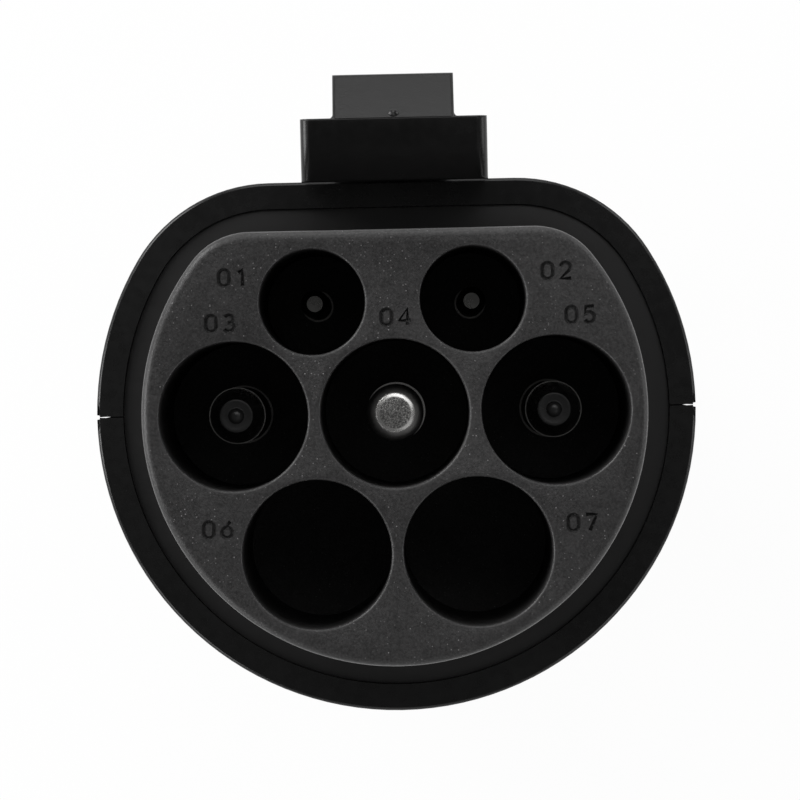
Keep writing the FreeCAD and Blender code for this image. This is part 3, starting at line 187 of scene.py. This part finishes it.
def metal(name, colour, roughness, scratch=0.25, worn_above=None):
    """Turned and plated metal with a faint uneven dullness. Above a height its end is worn rough."""
    material = bpy.data.materials.new(name)
    tree = Tree(material)
    place = tree.add("ShaderNodeTexCoord").outputs["Object"]
    fine = tree.noise(place, 2600.0, 3.0, 0.6)
    broad = tree.noise(place, 420.0, 4.0, 0.6)
    tone = tree.tinted(tree.ramp(broad, 0.3, 0.7, 0.88, 1.0), colour)
    gloss = tree.ramp(broad, 0.3, 0.7, roughness - 0.06, roughness + 0.08)
    strength = scratch
    if worn_above:
        worn = tree.ramp(tree.height(place), worn_above - WORN_FADE, worn_above, 0.0, 1.0)
        strength = tree.ramp(worn, 0.0, 1.0, scratch, 1.0)
        pits = tree.ramp(tree.noise(place, 5200.0, 3.0, 0.7), 0.42, 0.58, 0.35, 1.0)
        dull = tree.add("ShaderNodeMix", {0: worn, 2: 1.0, 3: pits}, data_type="FLOAT").outputs[0]
        dulled = tree.add("ShaderNodeVectorMath", {0: tone, 1: tree.grey(dull)}, operation="MULTIPLY")
        tone = dulled.outputs[0]
    bump = tree.add("ShaderNodeBump", {"Strength": strength, "Distance": SCRATCH_DEPTH, "Height": fine})
    shader = tree.add("ShaderNodeBsdfPrincipled", {
        "Base Color": tone, "Metallic": 1.0, "Roughness": gloss, "Normal": bump.outputs["Normal"]})
    tree.add("ShaderNodeOutputMaterial", {"Surface": shader.outputs[0]})
    return material


insert_plastic = plastic("insert_plastic", 0.026, 0.38, 1.0, (1.0, 0.975, 0.985), specks=0.2, specular=0.35,
                         mottle=0.42, smooth_step_painted_shade=True)
housing_plastic = plastic("housing_plastic", 0.0058, 0.27, 0.16, specular=0.32)
latch_plastic = plastic("latch_plastic", 0.0036, 0.24, 0.2, (1.0, 0.98, 0.98), specular=0.32)
tip_plastic = plastic("tip_plastic", 0.03, 0.25, 0.2)
inner_plastic = plastic("inner_plastic", 0.03, 0.5, 0.2)
rubber = plastic("rubber", 0.012, 0.7, 0.3, specular=0.3)
board_resin = plastic("board_resin", 0.18, 0.35, 0.1, (0.12, 1.0, 0.4))
switch_plastic = plastic("switch_plastic", 0.05, 0.4, 0.15)
earth_silver = metal("earth_silver", (0.92, 0.91, 0.89), 0.2, worn_above=EARTH_WORN_ABOVE)
# Silver painted very dark: painted shade for the pins that stand deep in their cavities and get little light
painted_shade_silver = metal("painted_shade_silver", (0.22, 0.218, 0.21), 0.3)
steel = metal("steel", (0.56, 0.57, 0.58), 0.34)

NODE_MATERIALS = (
    (housing_plastic, ("upper_shell", "lower_shell")),
    (insert_plastic, ("plug_insert", "inlet_insert")),
    (rubber, ("plug_gasket", "inlet_gasket")),
    (inner_plastic, ("plug_retainer", "inlet_retainer")),
    (tip_plastic, ("l1_plug_tip", "n_plug_tip", "l1_inlet_tip", "n_inlet_tip")),
    (latch_plastic, ("latch_lever",)),
    (switch_plastic, ("coding_resistors", "micro_switch", "switch_plunger")),
    (board_resin, ("signal_board",)),
    (earth_silver, ("pe_pin",)),
    (painted_shade_silver, ("l1_pin", "n_pin", "cc_plug_pin", "cp_plug_pin", "pp_inlet_pin", "cp_inlet_pin")),
    (steel, ("retainer_screws", "shell_screws", "latch_pivot_pin", "latch_spring")),
)
for material, names in NODE_MATERIALS:
    for name in names:
        slots = nodes[name].data.materials
        slots.clear()
        slots.append(material)


# Mesh builders
BARREL = (26.3, 19.1, 7.6)      # belly radius, flat's height and corner radius of a D, in millimetres
SHELL = (33.1, 25.5, 17.2)      # the same of the housing's outline
LEVEL = 0.9999                  # a face is shaded flat where its normal is as upright as this
SHARP = math.radians(30.0)
WELD = 0.002                    # corners closer than this are joined


def corner_middle(radius, flat, corner):
    """Where the middle of a D's right corner lies."""
    up = flat - corner
    return math.sqrt((radius - corner) ** 2 - up ** 2), up


def d_outline(family, inward, belly_steps=150, corner_steps=26):
    """Points round a D, with the same count whatever the inset."""
    radius, flat, corner = (value - inward for value in family)
    across, up = corner_middle(radius, flat, corner)
    touch = math.atan2(up, across)
    points = []
    for step in range(belly_steps):
        angle = math.pi - touch + (math.pi + 2 * touch) * step / belly_steps
        points.append((radius * math.cos(angle), radius * math.sin(angle)))
    for step in range(corner_steps):
        angle = touch + (math.pi / 2 - touch) * step / (corner_steps - 1)
        points.append((across + corner * math.cos(angle), up + corner * math.sin(angle)))
    for step in range(corner_steps):
        angle = math.pi / 2 + (math.pi / 2 - touch) * step / corner_steps
        points.append((-across + corner * math.cos(angle), up + corner * math.sin(angle)))
    return points


def add_walls(mesh, rows):
    """Faces between rings of equally many corners."""
    for low, high in zip(rows, rows[1:]):
        for index in range(len(low)):
            following = (index + 1) % len(low)
            mesh.faces.new((low[index], low[following], high[following], high[index]))


def loft(rings):
    """A closed solid through rings of equally many points."""
    mesh = bmesh.new()
    rows = [[mesh.verts.new(point) for point in ring] for ring in rings]
    add_walls(mesh, rows)
    mesh.faces.new(list(reversed(rows[0])))
    mesh.faces.new(rows[-1])
    return mesh


def lathe(profile, across, up, steps=96):
    """A solid turned about an upright axis, through (radius, height) pairs that start and end on the axis."""
    mesh = bmesh.new()
    bottom = mesh.verts.new((across, up, profile[0][1]))
    top = mesh.verts.new((across, up, profile[-1][1]))
    angles = [2 * math.pi * step / steps for step in range(steps)]
    rows = [[mesh.verts.new((across + radius * math.cos(angle), up + radius * math.sin(angle), height))
             for angle in angles] for radius, height in profile[1:-1]]
    add_walls(mesh, rows)
    for index in range(steps):
        following = (index + 1) % steps
        mesh.faces.new((bottom, rows[0][following], rows[0][index]))
        mesh.faces.new((top, rows[-1][index], rows[-1][following]))
    return mesh


def joined(meshes):
    """One mesh that holds several."""
    whole = bmesh.new()
    for mesh in meshes:
        data = bpy.data.meshes.new("joined")
        mesh.to_mesh(data)
        mesh.free()
        whole.from_mesh(data)
        bpy.data.meshes.remove(data)
    return whole


def linked(name, data):
    """A new object in the scene."""
    item = bpy.data.objects.new(name, data)
    scene.collection.objects.link(item)
    return item


def new_piece(name, mesh, material):
    """An object from a mesh built in millimetres about the contacts' axis."""
    data = bpy.data.meshes.new(name)
    mesh.to_mesh(data)
    mesh.free()
    data.transform(Matrix.Translation((0, DROP, 0)) @ Matrix.Scale(MM, 4))
    data.materials.clear()
    data.materials.append(material)
    data.polygons.foreach_set("use_smooth", [abs(face.normal.z) < LEVEL for face in data.polygons])
    data.set_sharp_from_angle(angle=SHARP)
    return linked(name, data)


def stand_in(piece, node, body):
    """Puts a piece in a CAD node's place."""
    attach(piece, body)
    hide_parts(node)


def evaluated_mesh(item):
    """An object's mesh with its modifiers or bevel applied, to work on."""
    bpy.context.view_layer.update()
    graph = bpy.context.evaluated_depsgraph_get()
    data = bpy.data.meshes.new_from_object(item.evaluated_get(graph))
    made = bmesh.new()
    made.from_mesh(data)
    bpy.data.meshes.remove(data)
    return made


def cut(mesh, cutter, crossing=False):
    """The first mesh with the second taken out of it, as a new mesh.

    crossing is for a cutter that crosses itself.
    """
    objects = []
    for part in (mesh, cutter):
        data = bpy.data.meshes.new("cut")
        part.to_mesh(data)
        part.free()
        objects.append(linked("cut", data))
    modifier = objects[0].modifiers.new("cut", "BOOLEAN")
    modifier.operation = "DIFFERENCE"
    modifier.solver = "EXACT" if crossing else "MANIFOLD"
    modifier.use_self = crossing
    modifier.object = objects[1]
    made = evaluated_mesh(objects[0])
    for item in objects:
        data = item.data
        bpy.data.objects.remove(item)
        bpy.data.meshes.remove(data)
    bmesh.ops.remove_doubles(made, verts=made.verts, dist=WELD)
    bmesh.ops.dissolve_degenerate(made, edges=made.edges, dist=WELD)
    return made


def arc(centre, radii, start, end, steps=14):
    """Points along part of an ellipse, angles in degrees."""
    return [(centre[0] + radii[0] * math.cos(math.radians(start + (end - start) * step / steps)),
             centre[1] + radii[1] * math.sin(math.radians(start + (end - start) * step / steps)))
            for step in range(steps + 1)]


# Digits as single strokes in a cell 1 wide and 1.3 high
CELL_HEIGHT = 1.3
DIGITS = {
    "0": [arc((0.5, 0.9), (0.42, 0.4), 0, 180) + arc((0.5, 0.4), (0.42, 0.4), 180, 360)],
    "1": [[(0.2, 1.06), (0.52, 1.3), (0.52, 0.0)]],
    "2": [arc((0.5, 0.9), (0.4, 0.4), 165, -25) + [(0.08, 0.0), (0.94, 0.0)]],
    "3": [arc((0.48, 0.98), (0.36, 0.32), 150, -90) + arc((0.48, 0.35), (0.42, 0.35), 90, -150)],
    "4": [[(0.72, 0.0), (0.72, 1.3), (0.04, 0.36), (0.98, 0.36)]],
    "5": [[(0.86, 1.3), (0.2, 1.3), (0.12, 0.66)] + arc((0.48, 0.42), (0.42, 0.42), 130, -150)],
    "6": [[(0.78, 1.3)] + arc((0.5, 0.42), (0.42, 0.42), 160, -200, 26)],
    "7": [[(0.06, 1.3), (0.94, 1.3), (0.36, 0.0)]],
}
CLOSED = ("0",)         # digits whose stroke ends where it starts
LABELS = (              # each number, and its middle on the face
    ("01", -16.46, 14.37), ("02", 17.08, 14.39), ("03", -17.91, 9.67), ("04", 0.29, 9.94),
    ("05", 19.46, 9.78), ("06", -18.59, -11.72), ("07", 19.20, -11.77))


def digit_cutter(width=1.28, gap=0.6, stroke=0.27, height=-0.15):
    """Round strokes that lie mostly in the face, to engrave the numbers."""
    curve = bpy.data.curves.new("strokes", "CURVE")
    curve.dimensions = "3D"
    curve.bevel_depth = stroke
    curve.bevel_resolution = 2
    curve.use_fill_caps = True
    for label, across, up in LABELS:
        left = across - (width * len(label) + gap * (len(label) - 1)) / 2
        for place, digit in enumerate(label):
            for line in DIGITS[digit]:
                spline = curve.splines.new("POLY")
                spline.points.add(len(line) - 1)
                spline.use_cyclic_u = digit in CLOSED
                for point, (x, y) in zip(spline.points, line):
                    point.co = (left + place * (width + gap) + x * width, up + (y - CELL_HEIGHT / 2) * width,
                                BARREL_LENGTH + height, 1.0)
    item = linked("strokes", curve)
    made = evaluated_mesh(item)
    bpy.data.objects.remove(item)
    bmesh.ops.remove_doubles(made, verts=made.verts, dist=0.0005)
    bmesh.ops.recalc_face_normals(made, faces=made.faces)
    return made


# The inserts, with heights from the housing's end outwards
CONTACTS = {"pe": (0.0, 0.0), "l1": (-16.75, 0.0), "n": (16.75, 0.0), "l2": (-8.375, -14.506),
            "l3": (8.375, -14.506), "cc": (-8.35, 11.7), "cp": (8.35, 11.7)}
SIGNALS = ("cc", "cp")
EMPTY = ("l2", "l3")            # these cavities hold no pin, so they have no bore
BACK = -15.0
FOOT = [                        # inset from the housing's outline, and height
    (6.8, BACK), (6.8, -7.0),                                   # the block that holds the pins
    (2.0, -7.0), (2.0, -4.0),                                   # the flange in the shells' groove
    (2.94, -4.0), (2.94, -0.64), (2.955, -0.61), (3.0, -0.6)]   # the step, with a softened edge
POWER_RADII = (7.75, 3.25, 4.55)        # of the cavity, the bore in its floor and the collar's seat behind
SIGNAL_RADII = (5.5, 1.75, 2.55)
POWER_SEAT, SIGNAL_SEAT = 3.0, 2.0      # how deep the seats are
CAVITY_FLOOR = 2.0
PAST = 1.0                      # how far the cutters reach past the solid
BARREL_EDGE = 0.9               # rounding round the face
MOUTH_EDGE = 0.3                # rounding round each cavity's mouth
SNAP = 0.012                    # corners this near the face are put on it


def insert_mesh(power_seat):
    """A barrel on its stepped flange, drawn outwards from the housing's end, with its seven cavities.

    power_seat says whether the power pins' collars have seats here.
    """
    rings = [(SHELL, inset, height) for inset, height in FOOT] + [(BARREL, 0.0, FOOT[-1][1])]
    for step in range(9):
        angle = math.pi / 2 * step / 8
        rings.append((BARREL, BARREL_EDGE * (1 - math.cos(angle)),
                      BARREL_LENGTH - BARREL_EDGE + BARREL_EDGE * math.sin(angle)))
    solid = loft([[(x, y, height) for x, y in d_outline(family, inward)] for family, inward, height in rings])
    cutters = []
    for name, (across, up) in CONTACTS.items():
        signal = name in SIGNALS
        radius, bore, seat = SIGNAL_RADII if signal else POWER_RADII
        seat_floor = BACK + (SIGNAL_SEAT if signal else POWER_SEAT)
        if name in EMPTY:
            profile = [(0.0, CAVITY_FLOOR)]
        elif signal or power_seat:
            profile = [(0.0, BACK - PAST), (seat, BACK - PAST), (seat, seat_floor), (bore, seat_floor),
                       (bore, CAVITY_FLOOR)]
        else:
            profile = [(0.0, BACK - PAST), (bore, BACK - PAST), (bore, CAVITY_FLOOR)]
        profile.append((radius, CAVITY_FLOOR))
        for step in range(5):
            angle = math.pi / 2 * step / 4
            profile.append((radius + MOUTH_EDGE * (1 - math.cos(angle)),
                            BARREL_LENGTH - MOUTH_EDGE + MOUTH_EDGE * math.sin(angle)))
        profile += [(radius + MOUTH_EDGE, BARREL_LENGTH + PAST), (0.0, BARREL_LENGTH + PAST)]
        cutters.append(lathe(profile, across, up))
    return cut(solid, joined(cutters))


plug = cut(insert_mesh(True), digit_cutter(), crossing=True)
for vert in plug.verts:
    if abs(vert.co.z - BARREL_LENGTH) < SNAP:
        vert.co.z = BARREL_LENGTH
bmesh.ops.translate(plug, verts=plug.verts, vec=(0, 0, HOUSING_TOP))
stand_in(new_piece("plug_face", plug, insert_plastic), "plug_insert", "housing")

inlet = insert_mesh(False)
bmesh.ops.rotate(inlet, verts=inlet.verts, cent=(0, 0, 0), matrix=Matrix.Rotation(math.pi, 3, "Y"))
bmesh.ops.translate(inlet, verts=inlet.verts, vec=(0, 0, HOUSING_FOOT))
stand_in(new_piece("inlet_face", inlet, insert_plastic), "inlet_insert", "housing")


# Earth pin with rounded ends, and finger guards with a rounded shoulder and a small nub
def mirrored(profile):
    """The same profile at the other end of the adapter, still from the lower end up."""
    return [(radius, FACE / MM - height) for radius, height in reversed(profile)]


def turned_piece(name, node, contact, profile, material):
    """A piece turned about a contact's axis, in a node's place."""
    piece = new_piece(name, lathe(profile, *CONTACTS[contact]), material)
    stand_in(piece, node, "housing")


earth_head = [(3.0, 120.0)] + arc((1.5, 149.5), (1.5, 1.5), 0, 90) + [(0.0, 151.0)]
earth_collar = [(3.2, 38.0), (3.2, 103.0), (4.5, 103.0), (4.5, 106.0), (3.2, 106.0), (3.2, 120.0)]
turned_piece("earth_pin", "pe_pin", "pe", mirrored(earth_head) + earth_collar + earth_head, earth_silver)
guard = [(0.0, 144.0), (2.9, 144.0), (2.88, 144.3), (1.82, 147.86)]
guard += arc((1.62, 147.9), (0.2, 0.2), 10, 90, 5)
guard += [(1.45, 148.1), (0.96, 148.0), (0.84, 148.02)]
guard += arc((0.0, 148.04), (0.82, 0.46), 8, 82, 8) + [(0.0, 148.5)]
for contact in ("l1", "n"):
    turned_piece(f"{contact}_plug_guard", f"{contact}_plug_tip", contact, guard, tip_plastic)
    turned_piece(f"{contact}_inlet_guard", f"{contact}_inlet_tip", contact, mirrored(guard), tip_plastic)


# Pieces made from their nodes
def to_millimetres(node):
    """The turn from a node's own corners to millimetres about the contacts' axis."""
    return Matrix.Scale(1 / MM, 4) @ Matrix.Translation((0, -DROP, 0)) @ nodes[node].matrix_world


def node_mesh(node):
    """A node's mesh in millimetres about the contacts' axis, with its split corners joined."""
    mesh = bmesh.new()
    mesh.from_mesh(nodes[node].data)
    mesh.transform(to_millimetres(node))
    bmesh.ops.remove_doubles(mesh, verts=mesh.verts, dist=WELD)
    bmesh.ops.dissolve_limit(mesh, angle_limit=math.radians(0.3), verts=mesh.verts, edges=mesh.edges)
    return mesh


def node_copy(name, node):
    """An object that lies where a node lies, with a copy of its mesh."""
    piece = linked(name, nodes[node].data.copy())
    piece.matrix_world = nodes[node].matrix_world
    return piece


# Housing: a tighter rounding round both ends, and a fine open seam
CAD_BEVEL, RIM = 0.9, 0.3           # the size of the bevel in the CAD, and here
END_LEAN, WALL_LEAN = math.radians(30), math.radians(60)    # of the shading at the bevel's two edges
SEAM = 0.06                         # how far each shell draws back
ON_END, NEAR_EDGE = 0.01, 0.08      # how far off a corner may lie


def from_outline(x, y):
    """How far a point lies inside the housing's outline, and the way straight out."""
    radius, flat, corner = SHELL
    across, up = corner_middle(radius, flat, corner)
    if y > up and abs(x) <= across:
        return flat - y, Vector((0, 1, 0))
    if abs(x) > across and math.atan2(y - up, abs(x) - across) >= math.atan2(up, across):
        arm = Vector((x - math.copysign(across, x), y - up, 0))
        return corner - arm.length, arm.normalized()
    arm = Vector((x, y, 0))
    return radius - arm.length, arm.normalized()


def tighten_rim(data, to_axis, end, inwards):
    """Makes the bevel round one end of the housing smaller, and shades it as a rounding.

    to_axis turns a corner into millimetres about the axis. inwards is 1 or -1, the way from the end's height
    into the housing.
    """
    back = to_axis.inverted()
    on_rim = {}
    for vert in data.vertices:
        place = to_axis @ vert.co
        inset, way = from_outline(place.x, place.y)
        if abs(place.z - end) < ON_END and abs(inset - CAD_BEVEL) < NEAR_EDGE:
            vert.co = back @ (place + way * (CAD_BEVEL - RIM))
            on_rim[vert.index] = (END_LEAN, way)
        elif abs(place.z - end - inwards * CAD_BEVEL) < 2 * ON_END and abs(inset) < NEAR_EDGE:
            vert.co = back @ Vector((place.x, place.y, end + inwards * RIM))
            on_rim[vert.index] = (WALL_LEAN, way)
    normals = [corner.vector.copy() for corner in data.corner_normals]
    upright = Vector((0, 0, -inwards))
    turn = back.to_3x3()
    for polygon in data.polygons:
        found = [on_rim.get(index) for index in polygon.vertices]
        if all(found) and len({lean for lean, _ in found}) == 2:
            for loop, (lean, way) in zip(polygon.loop_indices, found):
                normals[loop] = (turn @ (upright * math.cos(lean) + way * math.sin(lean))).normalized()
    data.normals_split_custom_set(normals)


def open_seam(data, to_axis, way):
    """Draws a shell's seam back a little at both ends of the housing, so that it shows as a fine line."""
    back = to_axis.inverted()
    for vert in data.vertices:
        place = to_axis @ vert.co
        off_end = min(abs(place.z - end) for end in (HOUSING_TOP, HOUSING_FOOT))
        if abs(place.y) < ON_END and off_end < ON_END:
            vert.co = back @ (place + Vector((0, way * SEAM, 0)))


for half, way in (("upper", 1), ("lower", -1)):
    node = f"{half}_shell"
    housing = node_copy(f"{half}_housing", node)
    to_axis = to_millimetres(node)
    tighten_rim(housing.data, to_axis, HOUSING_TOP, -1)
    tighten_rim(housing.data, to_axis, HOUSING_FOOT, 1)
    open_seam(housing.data, to_axis, way)
    stand_in(housing, node, "housing")


# Latch: the CAD lever up to its head, and above that a head and a tooth with rounded sides
LATCH_MIDDLE, HEAD_HALF, TOOTH_HALF = 0.45, 10.0, 6.5       # along X
HEAD_EDGE, TOOTH_EDGE = 1.2, 0.35
HEAD_FOOT = 119.65                  # the CAD lever is cut off here
FLARE_EDGE = 0.45                   # hollow rounding between the tooth's sides and the head


def soft_corner(start, corner, end, steps=4):
    """Points of a soft corner between two others."""
    return [tuple((1 - t) ** 2 * a + 2 * t * (1 - t) * b + t * t * c for a, b, c in zip(start, corner, end))
            for t in (step / steps for step in range(steps + 1))]


def cross_bar(outline, half, radius, steps=8):
    """A bar across the latch, reaching half its width to either side of the latch's middle.

    Its front is rounded off towards both sides. outline gives its (y, z) points, with the front drawn back by
    a setback.
    """
    low, high = LATCH_MIDDLE - half, LATCH_MIDDLE + half
    places = []
    for step in range(steps + 1):
        angle = math.pi / 2 * step / steps
        places.append((radius * (1 - math.cos(angle)), radius * (1 - math.sin(angle))))
    rings = [[(low + inward, y, z) for y, z in outline(setback)] for inward, setback in places]
    rings += [[(high - inward, y, z) for y, z in outline(setback)] for inward, setback in reversed(places)]
    mesh = loft(rings)
    bmesh.ops.recalc_face_normals(mesh, faces=mesh.faces)
    return mesh


def head_outline(setback):
    """The head from the side: a slope up to a flat top with a soft corner."""
    front = [(24.73, 138.35), (24.775, 138.55), (24.9, 138.674)]
    front += soft_corner((25.0, 138.72), (27.93, 140.0), (31.0, 140.0), 12)
    front += soft_corner((31.3, 140.0), (31.5, 140.0), (31.5, 139.8))
    return [(25.433, 119.0)] + [(y, z - setback) for y, z in front] + [(31.5, 119.0)]


def tooth_outline(setback):
    """The tooth from the side: a ramp that falls away outwards."""
    front = [(31.0, 139.98), (31.48, 139.98)] + soft_corner((36.1, 135.7), (36.35, 135.47), (36.35, 135.2))
    return [(31.0, 131.0)] + [(y, z - setback) for y, z in front] + [(36.35, 131.0)]


lever = node_mesh("latch_lever")
sliced = bmesh.ops.bisect_plane(lever, geom=lever.verts[:] + lever.edges[:] + lever.faces[:], dist=0.0005,
                                plane_co=(0, 0, HEAD_FOOT), plane_no=(0, 0, 1), clear_outer=True)
rim = [item for item in sliced["geom_cut"] if isinstance(item, bmesh.types.BMEdge)]
bmesh.ops.triangle_fill(lever, edges=rim, use_beauty=True)
latch = [lever, cross_bar(head_outline, HEAD_HALF, HEAD_EDGE),
         cross_bar(tooth_outline, TOOTH_HALF, TOOTH_EDGE)]
section = [(TOOTH_HALF - 0.1, 31.4), (TOOTH_HALF - 0.1, 31.95)]
section += arc((TOOTH_HALF + FLARE_EDGE, 31.95), (FLARE_EDGE, FLARE_EDGE), 180, 270, 6)
section += [(TOOTH_HALF + FLARE_EDGE, 31.4)]
for side in (-1, 1):
    flare = loft([[(LATCH_MIDDLE + side * x, y, height) for x, y in section] for height in (131.0, 139.0)])
    bmesh.ops.recalc_face_normals(flare, faces=flare.faces)
    latch.append(flare)
nub = [(0.0, 135.6), (0.85, 135.6)] + arc((0, 139.15), (0.85, 0.8), 0, 84, 8) + [(0.0, 139.95)]
latch.append(lathe(nub, LATCH_MIDDLE, 31.6, 32))
soft_latch = new_piece("latch", joined(latch), latch_plastic)
soft_latch.data.polygons.foreach_set("use_smooth", [True] * len(soft_latch.data.polygons))
soft_latch.data.set_sharp_from_angle(angle=math.radians(40))
weights = soft_latch.modifiers.new("weights", "WEIGHTED_NORMAL")
weights.keep_sharp = True
weights.weight = 100
stand_in(soft_latch, "latch_lever", "latch")


# Latch spring: a copy of the CAD spring, held by the housing, with a mesh of its own
spring = node_copy("return_spring", "latch_spring")
stand_in(spring, "latch_spring", "housing")
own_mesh(spring)


# Floor: pale, and white where it is looked at or mirrored; it keeps a soft shadow
FLOOR_HALF = 6.0
FLOOR_WHITE = 0.95          # share of plain white where it is looked at
floor_mesh = bpy.data.meshes.new("floor")
floor_mesh.from_pydata([(-FLOOR_HALF, -FLOOR_HALF, 0), (FLOOR_HALF, -FLOOR_HALF, 0),
                        (FLOOR_HALF, FLOOR_HALF, 0), (-FLOOR_HALF, FLOOR_HALF, 0)], [], [(0, 1, 2, 3)])
floor = linked("floor", floor_mesh)
floor_material = bpy.data.materials.new("floor")
tree = Tree(floor_material)
path = tree.add("ShaderNodeLightPath").outputs
seen = tree.math("MAXIMUM", tree.math("MAXIMUM", path["Is Camera Ray"], path["Is Glossy Ray"]),
                 path["Is Transmission Ray"])
pale = tree.add("ShaderNodeBsdfDiffuse", {"Color": (0.9, 0.9, 0.9, 1)})
white = tree.add("ShaderNodeEmission", {"Color": (1, 1, 1, 1), "Strength": 1.0})
mix = tree.add("ShaderNodeMixShader", {0: tree.math("MULTIPLY", seen, FLOOR_WHITE), 1: pale.outputs[0],
                                       2: white.outputs[0]})
tree.add("ShaderNodeOutputMaterial", {"Surface": mix.outputs[0]})
floor_mesh.materials.append(floor_material)


# World: dark to the object, and white where it is looked at
WORLD_GLOW = 0.09           # its light on the object
world = bpy.data.worlds.new("world")
scene.world = world
tree = Tree(world)
path = tree.add("ShaderNodeLightPath").outputs
seen = tree.math("MAXIMUM", path["Is Camera Ray"], path["Is Transmission Ray"])
strength = tree.math("MAXIMUM", seen, WORLD_GLOW)
background = tree.add("ShaderNodeBackground", {"Color": (1, 1, 1, 1), "Strength": strength})
tree.add("ShaderNodeOutputWorld", {"Surface": background.outputs[0]})


# Lamps: soft boxes all round. The strongest stand low on the left, the highest mostly on the latch's side
LAMP_LEVEL = 0.74           # one factor on every lamp
LAMP_AIM = Vector((0, 0, 0.12))
LAMP_POWERS = {             # by elevation, then by azimuth: 0 is the right and 90 the latch's side
    15: {0: 3.6, 45: 4.6, 90: 3.9, 135: 13.0, 180: 11.0, 225: 5.2, 270: 1.2, 315: 3.2},
    40: {0: 0.5, 90: 1.9, 135: 4.6, 180: 1.4, 225: 0.9, 270: 0.9, 315: 0.7},
    62: {45: 1.1, 90: 1.6, 315: 0.4},
}


def soft_box(azimuth, elevation, power, size=0.6, distance=1.3):
    """A square lamp that faces the object, from an azimuth and an elevation in degrees."""
    around, above = math.radians(azimuth), math.radians(elevation)
    place = LAMP_AIM + distance * Vector((math.cos(around) * math.cos(above),
                                          math.sin(around) * math.cos(above), math.sin(above)))
    data = bpy.data.lights.new(f"lamp_{azimuth}_{elevation}", "AREA")
    data.shape = "SQUARE"
    data.size = size
    data.energy = power * LAMP_LEVEL
    lamp = linked(data.name, data)
    lamp.location = place
    lamp.rotation_euler = (LAMP_AIM - place).to_track_quat("-Z", "Y").to_euler()


for elevation, powers in LAMP_POWERS.items():
    for azimuth, power in powers.items():
        soft_box(azimuth, elevation, power)
